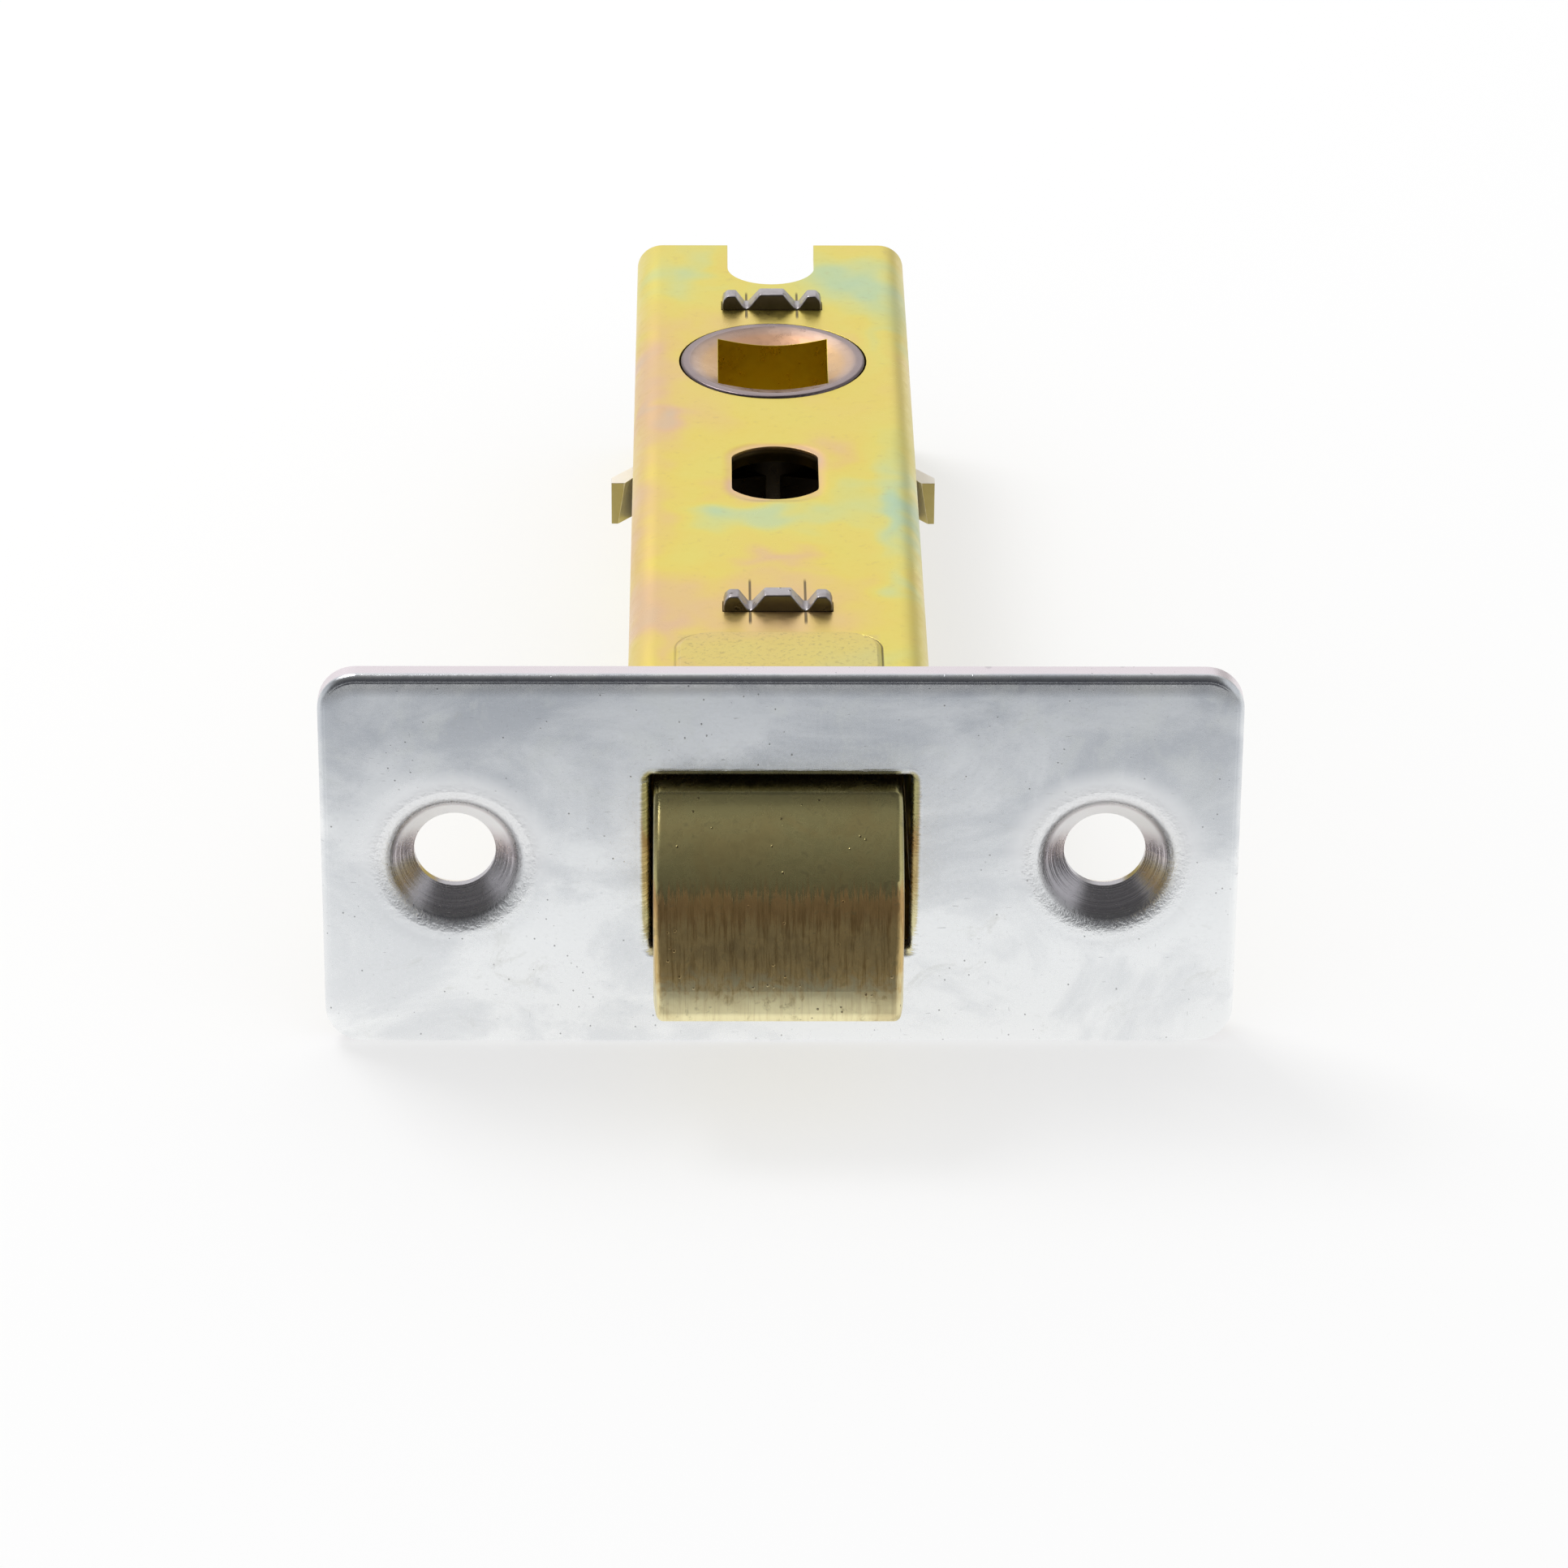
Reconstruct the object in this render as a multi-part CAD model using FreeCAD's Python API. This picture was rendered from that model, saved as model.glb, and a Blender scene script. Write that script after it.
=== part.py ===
import FreeCAD, Part
import math
import os

# Tubular door latch, bolt-through pattern, in millimetres.
# The origin is on the spindle's axis at the middle of the case. X runs along the forend's long side,
# +Y points into the door, so the bolt points to -Y, and +Z runs along the spindle.
# Places along the latch are given as distances behind the forend's front face.

# Fitting sizes
BACKSET = 60.0                  # forend's front face to the spindle's axis
SPINDLE_SQUARE = 7.6            # across the flats of the spindle hole
BOLT_PROJECTION = 10.4          # latch bolt's nose in front of the forend, also its travel
FOLLOWER_TURN = 77.0            # degrees, half before and half after the square position

# Forend
PLATE_LENGTH = 57.0
PLATE_HEIGHT = 25.7
PLATE_THICKNESS = 1.5
PLATE_CORNER_RADIUS = 2.4
PLATE_EDGE_RADIUS = 0.5
PLATE_DIMPLE_SHEET = 1.0        # wall of the pressed screw dimples
WINDOW_PLAY = 0.4               # round the bolt
WINDOW_CORNER_RADIUS = 0.2
WINDOW_ROLL = 0.65              # rolled front edge of the window
SCREW_END_DISTANCE = 8.25       # screw's axis to the forend's end
SCREW_HOLE_RADIUS = 2.55
SCREW_LAND = 0.5                # straight length at the bottom of each dimple
DIMPLE_RIM_RADIUS = 4.4
DIMPLE_DEPTH = 2.3
DIMPLE_ROLL = 1.3               # rolled front rim of each dimple

# Backing plate behind the forend
BACKING_MARGIN = 1.3            # set back from the forend's outline all round
BACKING_THICKNESS = 2.0
BACKING_SCREW_RADIUS = 3.1
CASE_SEAT_DEPTH = 0.3           # how far the case's front end is let into the backing plate
SEAT_CLEARANCE = 0.05           # round a nested or staked piece

# Case. Its width follows from the follower, the yoke round it and the sheet.
CASE_HEIGHT = 15.5
CASE_SHEET = 1.15
CASE_BEHIND_SPINDLE = 20.8      # spindle's axis to the case's rear end
CASE_BEND_RADIUS = 1.8          # outside of the long bends
TENON_HALF_HEIGHT = 3.0
PANEL_MARGIN = 3.0              # raised panel on the top, next to the forend, to the case's side
PANEL_END = 16.6
PANEL_RISE = 0.3
PANEL_SLOPE = 0.35
PANEL_CORNER_RADIUS = 2.2
FRONT_SLOT_OFFSET = 18.7        # slot for the front through-bolt, before the spindle's axis
FRONT_SLOT_LENGTH = 8.5
FRONT_SLOT_BOW = 1.6            # how far its curved ends bulge
FRONT_SLOT_CORNER = 1.0         # radius where a side meets a curved end
THROUGH_BOLT_WIDTH = 5.8
NOTCH_DEPTH = 7.2               # open slot for the rear through-bolt
NOTCH_WIDTH = 6.2
BARB_OFFSET = 6.9               # front edge of the lanced barbs, before the spindle's axis
BARB_LENGTH = 2.9
BARB_HALF_HEIGHT = 1.55
BARB_STAND_OFF = 1.58
BARB_TIP_LENGTH = 0.9           # part of each barb that runs along the wall
BARB_TOP_THICKNESS = 0.95       # at its front, where it was sheared
BARB_BOTTOM_THICKNESS = 0.45
LANCE_GAP = 0.15

# Pillars that hold the case's two faces apart
FRONT_PILLAR_GAP = 1.45         # behind the bolt's head when it is drawn back
REAR_PILLAR_OFFSET = 8.95       # behind the spindle's axis
PILLAR_THICKNESS = 1.5
PILLAR_LEG_PLAY = 0.3           # waist to the bolt's legs
PILLAR_SHOULDER_STEP = 1.9      # how far the shoulders reach beyond the waist
PILLAR_SHOULDER_DEPTH = 2.2     # height of the wide ends
TAB_RISE = 1.1                  # peened tab above the case
TAB_TIP_THICKNESS = 1.25
TAB_CHISEL_SHARE = 0.51         # chisel mark's place between the tab's middle and its edge
TAB_CHISEL_HALF_WIDTH = 0.12    # at the bottom of the mark
TAB_CREST_SHARE = 0.24          # half width of the middle crest, of the tab's half width
TAB_SIDE_FLANK = 0.62           # from the mark's edge to the side lump's crest
TAB_SIDE_ROUND = 0.38           # from the side lump's crest to the tab's edge
TAB_SIDE_LUMP_DROP = 0.12

# Latch bolt. Its head's width and height follow from the case.
BOLT_CASE_PLAY = 0.745          # head's side to the case's side wall
BOLT_TOP_PLAY = 1.1
BOLT_BOTTOM_PLAY = 0.8
BOLT_SIDE_PLAY = 0.16           # the bolt leans to one side of the window
BOLT_CURVE_START = 1.2          # in front of the forend
NOSE_RADIUS = 5.5
NOSE_LEAN = 18.5                # degrees, how far the nose's curve turns up before the lead-in
NOSE_CROWN = 0.5                # the foremost point above the head's underside
NOSE_BLEND = 0.8
NOSE_EASE_DEPTH = 0.3           # the head narrows towards its nose
NOSE_EASE_LENGTH = 3.2
CURVE_BLEND = 1.0
BOLT_SIDE_BLEND = 0.45
HEAD_REAR = 8.0
LEG_YOKE_PLAY = 0.3
LEG_INNER_SHARE = 0.549         # leg's inner face, of its outer face's place
LEG_SHOULDER_PLAY = 0.95        # leg's edge to the pillar's shoulder
LEG_ROUNDING = 1.2
PIN_BEHIND_PILLAR = 0.15        # pin's axis behind the front pillar, bolt thrown
PIN_RADIUS = 1.25
PIN_LEG_DEPTH = 2.0             # how deep the pin sits in its leg
LEG_END_MARGIN = 2.0            # leg behind the pin's axis

# Bolt spring and its guide
POCKET_DEPTH = 6.0
POCKET_PLAY = 0.3               # spring to its pocket
SPRING_WIRE = 0.8
SPRING_TURNS = 6.5
SPRING_LEG_PLAY = 0.6
GUIDE_PLAY = 0.6                # guide pin to the spring
GUIDE_SPIGOT_RADIUS = 1.0
GUIDE_REACH = 6.7               # in front of the front pillar

# Yoke, the folded slide
YOKE_SHEET = 1.0
YOKE_SIDE_PLAY = 0.2            # to the case's side walls
YOKE_LIFT = 0.2                 # above the base plate
YOKE_STOP_GAP = 0.15            # cross strap to the front pillar
YOKE_EAR_LEAD = 2.7             # ear in front of the pin's axis
YOKE_EAR_TOP = 3.4
YOKE_RAIL_TOP = -2.4
YOKE_STRAP_LENGTH = 4.6
YOKE_SLOT_PLAY = 0.3
YOKE_BEND_RADIUS = 1.0
LUG_WIDTH = 1.65
LUG_THICKNESS = 1.8
LUG_TOP = 2.0
LUG_PLAY = 0.5                  # between the follower's arm and the lug at rest
PIN_SLOT_PLAY = 0.1

# Follower
JOURNAL_WALL = 1.03             # left outside the square hole's corners
JOURNAL_PLAY = 0.1
JOURNAL_PROUD = 0.1             # ends above the case's faces
FLANGE_STEP = 0.55              # flange beyond the journal
FLANGE_THICKNESS = 1.0
FLANGE_PLAY = 0.2
FLANGE_YOKE_PLAY = 0.27         # flange to the yoke's sides
ARM_CASE_PLAY = 0.15
ARM_HALF_HEIGHT = 1.9
ARM_WIDTH = 3.4
ARM_TIP_BLEND = 0.5
DISH_MARGIN = 0.65              # flat ring round the dish
DISH_ANGLE = 18.0               # degrees of slope towards the hole
FOLLOWER_EDGE_BLEND = 0.2

# Follower, yoke and case, from the spindle hole outwards
JOURNAL_RADIUS = SPINDLE_SQUARE / math.sqrt(2) + JOURNAL_WALL
DISH_RADIUS = JOURNAL_RADIUS - DISH_MARGIN
FLANGE_RADIUS = JOURNAL_RADIUS + FLANGE_STEP
YOKE_INNER = FLANGE_RADIUS + FLANGE_YOKE_PLAY
YOKE_OUTER = YOKE_INNER + YOKE_SHEET
CASE_INSIDE_HALF = YOKE_OUTER + YOKE_SIDE_PLAY
CASE_WIDTH = 2 * (CASE_INSIDE_HALF + CASE_SHEET)
CASE_TOP = CASE_HEIGHT / 2
CASE_INSIDE_TOP = CASE_TOP - CASE_SHEET
ARM_REACH = CASE_INSIDE_HALF - ARM_CASE_PLAY
PANEL_HALF_WIDTH = CASE_WIDTH / 2 - PANEL_MARGIN
YOKE_BOTTOM = -CASE_INSIDE_TOP + YOKE_LIFT
YOKE_FLOOR = YOKE_BOTTOM + YOKE_SHEET

# Bolt, its window and its spring, inside the case
BOLT_WIDTH = 2 * (CASE_INSIDE_HALF - BOLT_CASE_PLAY)
BOLT_TOP = CASE_INSIDE_TOP - BOLT_TOP_PLAY
BOLT_BOTTOM = -CASE_INSIDE_TOP + BOLT_BOTTOM_PLAY
WINDOW_WIDTH = BOLT_WIDTH + 2 * WINDOW_PLAY
WINDOW_TOP = BOLT_TOP + WINDOW_PLAY
WINDOW_BOTTOM = BOLT_BOTTOM - WINDOW_PLAY
LEG_OUTER = YOKE_INNER - LEG_YOKE_PLAY
LEG_INNER = LEG_INNER_SHARE * LEG_OUTER
LEG_HALF_HEIGHT = CASE_INSIDE_TOP - PILLAR_SHOULDER_DEPTH - LEG_SHOULDER_PLAY
PILLAR_HALF_WAIST = LEG_INNER - PILLAR_LEG_PLAY
PILLAR_HALF_SHOULDER = PILLAR_HALF_WAIST + PILLAR_SHOULDER_STEP
TAB_CHISEL_CENTRE = TAB_CHISEL_SHARE * PILLAR_HALF_WAIST
TAB_CREST_HALF_WIDTH = TAB_CREST_SHARE * PILLAR_HALF_WAIST
SPRING_RADIUS = LEG_INNER - SPRING_LEG_PLAY - SPRING_WIRE / 2   # to the middle of the wire
POCKET_RADIUS = SPRING_RADIUS + SPRING_WIRE / 2 + POCKET_PLAY
GUIDE_RADIUS = SPRING_RADIUS - SPRING_WIRE / 2 - GUIDE_PLAY

# Places along the latch, behind the forend's front
HALF_TURN = math.radians(FOLLOWER_TURN / 2)
BOLT_THROW = BOLT_PROJECTION
BACKING_REAR = PLATE_THICKNESS + BACKING_THICKNESS
CASE_FRONT = BACKING_REAR - CASE_SEAT_DEPTH
CASE_END = BACKSET + CASE_BEHIND_SPINDLE
SCREW_SPACING = PLATE_LENGTH - 2 * SCREW_END_DISTANCE
FRONT_SLOT_CENTRE = BACKSET - FRONT_SLOT_OFFSET
BARB_FRONT = BACKSET - BARB_OFFSET
FRONT_PILLAR = HEAD_REAR + BOLT_THROW + FRONT_PILLAR_GAP
REAR_PILLAR = BACKSET + REAR_PILLAR_OFFSET
SPRING_FRONT = HEAD_REAR - POCKET_DEPTH
PIN_PLACE = FRONT_PILLAR + PILLAR_THICKNESS + PIN_BEHIND_PILLAR
STRAP_FRONT = FRONT_PILLAR + PILLAR_THICKNESS + YOKE_STOP_GAP
YOKE_EAR_FRONT = PIN_PLACE - YOKE_EAR_LEAD
LUG_INNER = YOKE_OUTER - LUG_WIDTH
LUG_FRONT = BACKSET - LUG_INNER * math.tan(HALF_TURN) + LUG_PLAY
LUG_REAR = LUG_FRONT + LUG_THICKNESS


def point(x, distance, z):
    """A point from its place across, its distance behind the forend's front and its height."""
    return FreeCAD.Vector(x, distance - BACKSET, z)


def block(x_range, distance_range, z_range):
    """A box between pairs of limits."""
    size = [high - low for low, high in (x_range, distance_range, z_range)]
    return Part.makeBox(*size, point(x_range[0], distance_range[0], z_range[0]))


def upright(radius, distance, z_range):
    """A cylinder along the spindle's direction, on the latch's middle line."""
    height = z_range[1] - z_range[0]
    return Part.makeCylinder(radius, height, point(0, distance, z_range[0]), FreeCAD.Vector(0, 0, 1))


def lengthwise(radius, x, distance_range, z=0.0):
    """A cylinder along the latch."""
    start, end = distance_range
    return Part.makeCylinder(radius, end - start, point(x, start, z), FreeCAD.Vector(0, 1, 0))


def polygon_prism(points, direction):
    """A prism on a closed outline of straight sides."""
    face = Part.Face(Part.makePolygon(points + points[:1]))
    return face.extrude(direction)


def edges_where(shape, test):
    """The edges of a shape whose two ends and middle all pass a test."""
    chosen = []
    for edge in shape.Edges:
        middle = edge.valueAt((edge.FirstParameter + edge.LastParameter) / 2)
        places = [vertex.Point for vertex in edge.Vertexes] + [middle]
        if all(test(place) for place in places):
            chosen.append(edge)
    return chosen


def parallel_edges(shape, axis, test=lambda place: True):
    """Straight edges along one axis, 0 to 2 for X to Z, whose middles pass a test."""
    chosen = []
    for edge in shape.Edges:
        if edge.Curve.TypeId != "Part::GeomLine":
            continue
        start, end = (vertex.Point for vertex in edge.Vertexes)
        along = abs((end - start)[axis]) > (1 - 1e-6) * edge.Length
        if along and test((start + end) / 2):
            chosen.append(edge)
    return chosen


def at_distance(distance):
    """A test for places at one distance behind the forend's front."""
    return lambda place: abs(place.y + BACKSET - distance) < 1e-4


def save(node, shape):
    """Writes one piece after checking that it is sound."""
    shape = shape.removeSplitter()
    if not shape.isValid():
        raise ValueError(f"{node} isn't a valid solid")
    shape.exportStep(f"parts/{node}.step")


def window_prism(margin, distance_range):
    """The bolt's window, grown by a margin, between two distances."""
    half = WINDOW_WIDTH / 2 + margin
    prism = block((-half, half), distance_range, (WINDOW_BOTTOM - margin, WINDOW_TOP + margin))
    return prism.makeFillet(WINDOW_CORNER_RADIUS, parallel_edges(prism, 1))


def forend_blank(length, height, corner, distance_range):
    """A plate with rounded corners."""
    plate = block((-length / 2, length / 2), distance_range, (-height / 2, height / 2))
    return plate.makeFillet(corner, parallel_edges(plate, 1))


def dimple_slope():
    """Fall of a dimple's radius for each millimetre of its depth."""
    return (DIMPLE_RIM_RADIUS - SCREW_HOLE_RADIUS) / (DIMPLE_DEPTH - SCREW_LAND)


def dimple_back_radius(distance, clearance=0.0):
    """Outside radius of a dimple's cone, seen from behind, at a distance behind the front."""
    wall = (PLATE_DIMPLE_SHEET + clearance) * math.hypot(1, dimple_slope())
    return DIMPLE_RIM_RADIUS + wall - dimple_slope() * distance


def turned(x, profile):
    """A ring turned about a lengthwise axis at x, from pairs of radius and distance."""
    points = [point(x + radius, distance, 0) for radius, distance in profile]
    face = Part.Face(Part.makePolygon(points + points[:1]))
    return face.revolve(point(x, 0, 0), FreeCAD.Vector(0, 1, 0), 360)


def screw_dimple(x):
    """The pressed cone round one screw hole, which stands out behind the sheet."""
    outer = dimple_back_radius(0)
    ring = turned(x, [
        (outer, 0),
        (DIMPLE_RIM_RADIUS, 0),
        (SCREW_HOLE_RADIUS, DIMPLE_DEPTH - SCREW_LAND),
        (SCREW_HOLE_RADIUS, DIMPLE_DEPTH),
        (dimple_back_radius(DIMPLE_DEPTH), DIMPLE_DEPTH),
        (dimple_back_radius(PLATE_THICKNESS), PLATE_THICKNESS),
        (outer, PLATE_THICKNESS),
    ])
    rim = [edge for edge in edges_where(ring, at_distance(0)) if edge.Length < 2 * math.pi * (outer - 0.1)]
    return ring.makeFillet(DIMPLE_ROLL, rim)


def make_faceplate():
    """The outer forend with its rolled edges, window and two screw dimples."""
    plate = forend_blank(PLATE_LENGTH, PLATE_HEIGHT, PLATE_CORNER_RADIUS, (0, PLATE_THICKNESS))
    plate = plate.makeFillet(PLATE_EDGE_RADIUS, edges_where(plate, at_distance(0)))
    plate = plate.cut(window_prism(0, (-1, PLATE_THICKNESS + 1)))
    reach = WINDOW_WIDTH / 2 + 0.1
    window_rim = edges_where(plate, lambda place: at_distance(0)(place) and abs(place.x) < reach
                             and WINDOW_BOTTOM - 0.1 < place.z < WINDOW_TOP + 0.1)
    plate = plate.makeFillet(WINDOW_ROLL, window_rim)
    for side in (-1, 1):
        x = side * SCREW_SPACING / 2
        plate = plate.cut(lengthwise(dimple_back_radius(0), x, (-1, PLATE_THICKNESS + 1)))
        plate = plate.fuse(screw_dimple(x))
    return plate


def make_inner_forend():
    """The backing plate, with seats for the dimples and the case, and notches for the case's tenons."""
    front, back = PLATE_THICKNESS, BACKING_REAR
    plate = forend_blank(PLATE_LENGTH - 2 * BACKING_MARGIN, PLATE_HEIGHT - 2 * BACKING_MARGIN,
                         PLATE_CORNER_RADIUS, (front, back))
    plate = plate.cut(window_prism(SEAT_CLEARANCE, (front - 1, back + 1)))
    tenon_reach = CASE_WIDTH / 2 + SEAT_CLEARANCE
    tenon_height = TENON_HALF_HEIGHT + SEAT_CLEARANCE
    through = (front - 1, back + 1)
    plate = plate.cut(block((-tenon_reach, tenon_reach), through, (-tenon_height, tenon_height)))
    seat = (CASE_FRONT, back + 1)
    seat_height = CASE_TOP + SEAT_CLEARANCE
    plate = plate.cut(block((-tenon_reach, tenon_reach), seat, (-seat_height, seat_height)))
    panel_reach = PANEL_HALF_WIDTH + SEAT_CLEARANCE
    plate = plate.cut(block((-panel_reach, panel_reach), seat, (0, seat_height + PANEL_RISE)))
    for side in (-1, 1):
        x = side * SCREW_SPACING / 2
        plate = plate.cut(lengthwise(BACKING_SCREW_RADIUS, x, through))
        seat_end = DIMPLE_DEPTH + SEAT_CLEARANCE
        plate = plate.cut(turned(x, [
            (0, front - SEAT_CLEARANCE),
            (dimple_back_radius(front - SEAT_CLEARANCE, SEAT_CLEARANCE), front - SEAT_CLEARANCE),
            (dimple_back_radius(seat_end, SEAT_CLEARANCE), seat_end),
            (0, seat_end),
        ]))
    return plate


def long_slot(centre, length, width, bow, z_range):
    """A slot along the latch with straight sides and bowed ends, through a range of heights."""
    start, end = centre - length / 2, centre + length / 2
    half, low = width / 2, z_range[0]
    left, right = (point(-half, start + bow, low), point(half, start + bow, low))
    far_right, far_left = (point(half, end - bow, low), point(-half, end - bow, low))
    edges = [
        Part.Arc(left, point(0, start, low), right).toShape(),
        Part.makeLine(right, far_right),
        Part.Arc(far_right, point(0, end, low), far_left).toShape(),
        Part.makeLine(far_left, left),
    ]
    return Part.Face(Part.Wire(edges)).extrude(FreeCAD.Vector(0, 0, z_range[1] - low))


def case_openings():
    """The openings that pierce both faces of the case, as one cutting body."""
    through = (-CASE_TOP - 2, CASE_TOP + 2)
    cutter = long_slot(FRONT_SLOT_CENTRE, FRONT_SLOT_LENGTH, THROUGH_BOLT_WIDTH, FRONT_SLOT_BOW, through)
    cutter = cutter.makeFillet(FRONT_SLOT_CORNER, parallel_edges(cutter, 2))
    cutter = cutter.fuse(upright(JOURNAL_RADIUS + JOURNAL_PLAY, BACKSET, through))
    cutter = cutter.fuse(long_slot(CASE_END, 2 * NOTCH_DEPTH, NOTCH_WIDTH, NOTCH_WIDTH / 2, through))
    half = PILLAR_HALF_WAIST + SEAT_CLEARANCE
    for front in (FRONT_PILLAR, REAR_PILLAR):
        along = (front - SEAT_CLEARANCE, front + PILLAR_THICKNESS + SEAT_CLEARANCE)
        cutter = cutter.fuse(block((-half, half), along, through))
    return cutter


def panel_outline(half_width, end, corner, z):
    """The raised panel's outline, open towards the forend, at one height."""
    start = CASE_FRONT
    arc_middle = corner * (1 - math.sqrt(0.5))
    corners = []
    for side in (1, -1):
        corners.append((point(side * half_width, end - corner, z),
                        point(side * (half_width - arc_middle), end - arc_middle, z),
                        point(side * (half_width - corner), end, z)))
    right, left = corners
    edges = [
        Part.makeLine(point(-half_width, start, z), point(half_width, start, z)),
        Part.makeLine(point(half_width, start, z), right[0]),
        Part.Arc(*right).toShape(),
        Part.makeLine(right[2], left[2]),
        Part.Arc(left[2], left[1], left[0]).toShape(),
        Part.makeLine(left[0], point(-half_width, start, z)),
    ]
    return Part.Wire(edges)


def panel_body(base):
    """The raised panel with its sloping sides, standing on a height."""
    foot = panel_outline(PANEL_HALF_WIDTH, PANEL_END, PANEL_CORNER_RADIUS, base)
    crest = panel_outline(PANEL_HALF_WIDTH - PANEL_SLOPE, PANEL_END - PANEL_SLOPE,
                          PANEL_CORNER_RADIUS, base + PANEL_RISE)
    return Part.makeLoft([foot, crest], True, True)


def barb_outline(side, thickness, z):
    """One barb's outline seen from above, from its root in the side wall to its sheared front."""
    wall, hinge = side * CASE_WIDTH / 2, BARB_FRONT + BARB_LENGTH
    tip = wall + side * BARB_STAND_OFF
    places = [
        (wall - side * CASE_SHEET, hinge),
        (wall, hinge),
        (tip, BARB_FRONT + BARB_TIP_LENGTH),
        (tip, BARB_FRONT),
        (tip - side * thickness, BARB_FRONT),
    ]
    points = [point(x, distance, z) for x, distance in places]
    return Part.makePolygon(points + points[:1])


def barb(side):
    """One barb, joined to the side wall at its rear and thinner at its lower edge."""
    lower = barb_outline(side, BARB_BOTTOM_THICKNESS, -BARB_HALF_HEIGHT)
    upper = barb_outline(side, BARB_TOP_THICKNESS, BARB_HALF_HEIGHT)
    return Part.makeLoft([lower, upper], True, True)


def make_case_shell():
    """The folded channel: top face, two side walls, tenons, raised panel, openings and barbs."""
    along = (CASE_FRONT, CASE_END)
    half = CASE_WIDTH / 2
    outside = block((-half, half), along, (-CASE_TOP, CASE_TOP))
    outside = outside.makeFillet(CASE_BEND_RADIUS, parallel_edges(outside, 1, lambda place: place.z > 0))
    hollow = block((-CASE_INSIDE_HALF, CASE_INSIDE_HALF), (along[0] - 1, along[1] + 1),
                   (-CASE_TOP - 1, CASE_INSIDE_TOP))
    upper_edges = parallel_edges(hollow, 1, lambda place: place.z > 0)
    hollow = hollow.makeFillet(CASE_BEND_RADIUS - CASE_SHEET, upper_edges)
    shell = outside.cut(hollow)
    shell = shell.fuse(panel_body(CASE_TOP))
    shell = shell.cut(panel_body(CASE_INSIDE_TOP))
    shell = shell.cut(case_openings())
    barb_height = BARB_HALF_HEIGHT + LANCE_GAP
    for side in (-1, 1):
        wall = sorted((side * CASE_INSIDE_HALF, side * half))
        tenon = block(wall, (PLATE_THICKNESS, CASE_FRONT), (-TENON_HALF_HEIGHT, TENON_HALF_HEIGHT))
        shell = shell.fuse(tenon)
        lance = block(wall, (BARB_FRONT - LANCE_GAP, BARB_FRONT + BARB_LENGTH), (-barb_height, barb_height))
        shell = shell.cut(lance)
        shell = shell.fuse(barb(side))
    return shell


def make_base_plate():
    """The flat plate that closes the channel underneath."""
    half = CASE_INSIDE_HALF - SEAT_CLEARANCE
    plate = block((-half, half), (CASE_FRONT, CASE_END), (-CASE_TOP, -CASE_INSIDE_TOP))
    return plate.cut(case_openings())


def peened_outline():
    """Right half of a tab's outline above the case, from its edge to its middle."""
    crest = CASE_TOP + TAB_RISE
    side_crest = crest - TAB_SIDE_LUMP_DROP
    chisel_floor = CASE_TOP + 0.1
    edge = PILLAR_HALF_WAIST
    outer = TAB_CHISEL_CENTRE + TAB_CHISEL_HALF_WIDTH
    inner = TAB_CHISEL_CENTRE - TAB_CHISEL_HALF_WIDTH
    return [
        (edge, CASE_TOP + TAB_RISE / 3),
        (edge - TAB_SIDE_ROUND / 4, side_crest - TAB_RISE / 4),
        (edge - TAB_SIDE_ROUND, side_crest),
        (outer + TAB_SIDE_FLANK, side_crest),
        (outer, chisel_floor),
        (inner, chisel_floor),
        (TAB_CREST_HALF_WIDTH, crest),
    ]


def make_pillar(front):
    """A flat pillar with wide shoulders inside the case and a peened, twice chiselled tab at each end."""
    shoulder = CASE_INSIDE_TOP
    neck = shoulder - PILLAR_SHOULDER_DEPTH
    quarter = [
        (PILLAR_HALF_WAIST, 0),
        (PILLAR_HALF_WAIST, neck),
        (PILLAR_HALF_SHOULDER, neck),
        (PILLAR_HALF_SHOULDER, shoulder),
        (PILLAR_HALF_WAIST, shoulder),
    ] + peened_outline()
    upper = quarter[1:] + [(-x, z) for x, z in reversed(quarter[1:])]
    around = upper + [(-x, -z) for x, z in upper]
    points = [point(x, front, z) for x, z in around]
    blank = polygon_prism(points, FreeCAD.Vector(0, PILLAR_THICKNESS, 0))
    # The tabs taper towards their crests, as the chisel leaves them.
    middle = front + PILLAR_THICKNESS / 2
    tip_half = TAB_TIP_THICKNESS / 2
    half = PILLAR_THICKNESS / 2
    taper_start = CASE_TOP + TAB_RISE / 3
    crest = CASE_TOP + TAB_RISE
    side_view = [(-half, taper_start), (-tip_half, crest), (tip_half, crest), (half, taper_start)]
    side_view += [(-offset, -z) for offset, z in side_view]
    wide = PILLAR_HALF_SHOULDER + 1
    envelope = polygon_prism([point(-wide, middle + offset, z) for offset, z in side_view],
                             FreeCAD.Vector(2 * wide, 0, 0))
    return blank.common(envelope)


def make_front_pillar():
    """The front pillar, drilled for the spring guide's spigot."""
    drill = lengthwise(GUIDE_SPIGOT_RADIUS, 0, (FRONT_PILLAR - 1, FRONT_PILLAR + PILLAR_THICKNESS + 1))
    return make_pillar(FRONT_PILLAR).cut(drill)


def make_spring_guide_pin():
    """The headless pin that keeps the spring straight."""
    body = lengthwise(GUIDE_RADIUS, 0, (FRONT_PILLAR - GUIDE_REACH, FRONT_PILLAR))
    body = body.makeChamfer(GUIDE_RADIUS / 3, edges_where(body, at_distance(FRONT_PILLAR - GUIDE_REACH)))
    spigot = lengthwise(GUIDE_SPIGOT_RADIUS, 0, (FRONT_PILLAR, FRONT_PILLAR + PILLAR_THICKNESS))
    return body.fuse(spigot)


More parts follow.
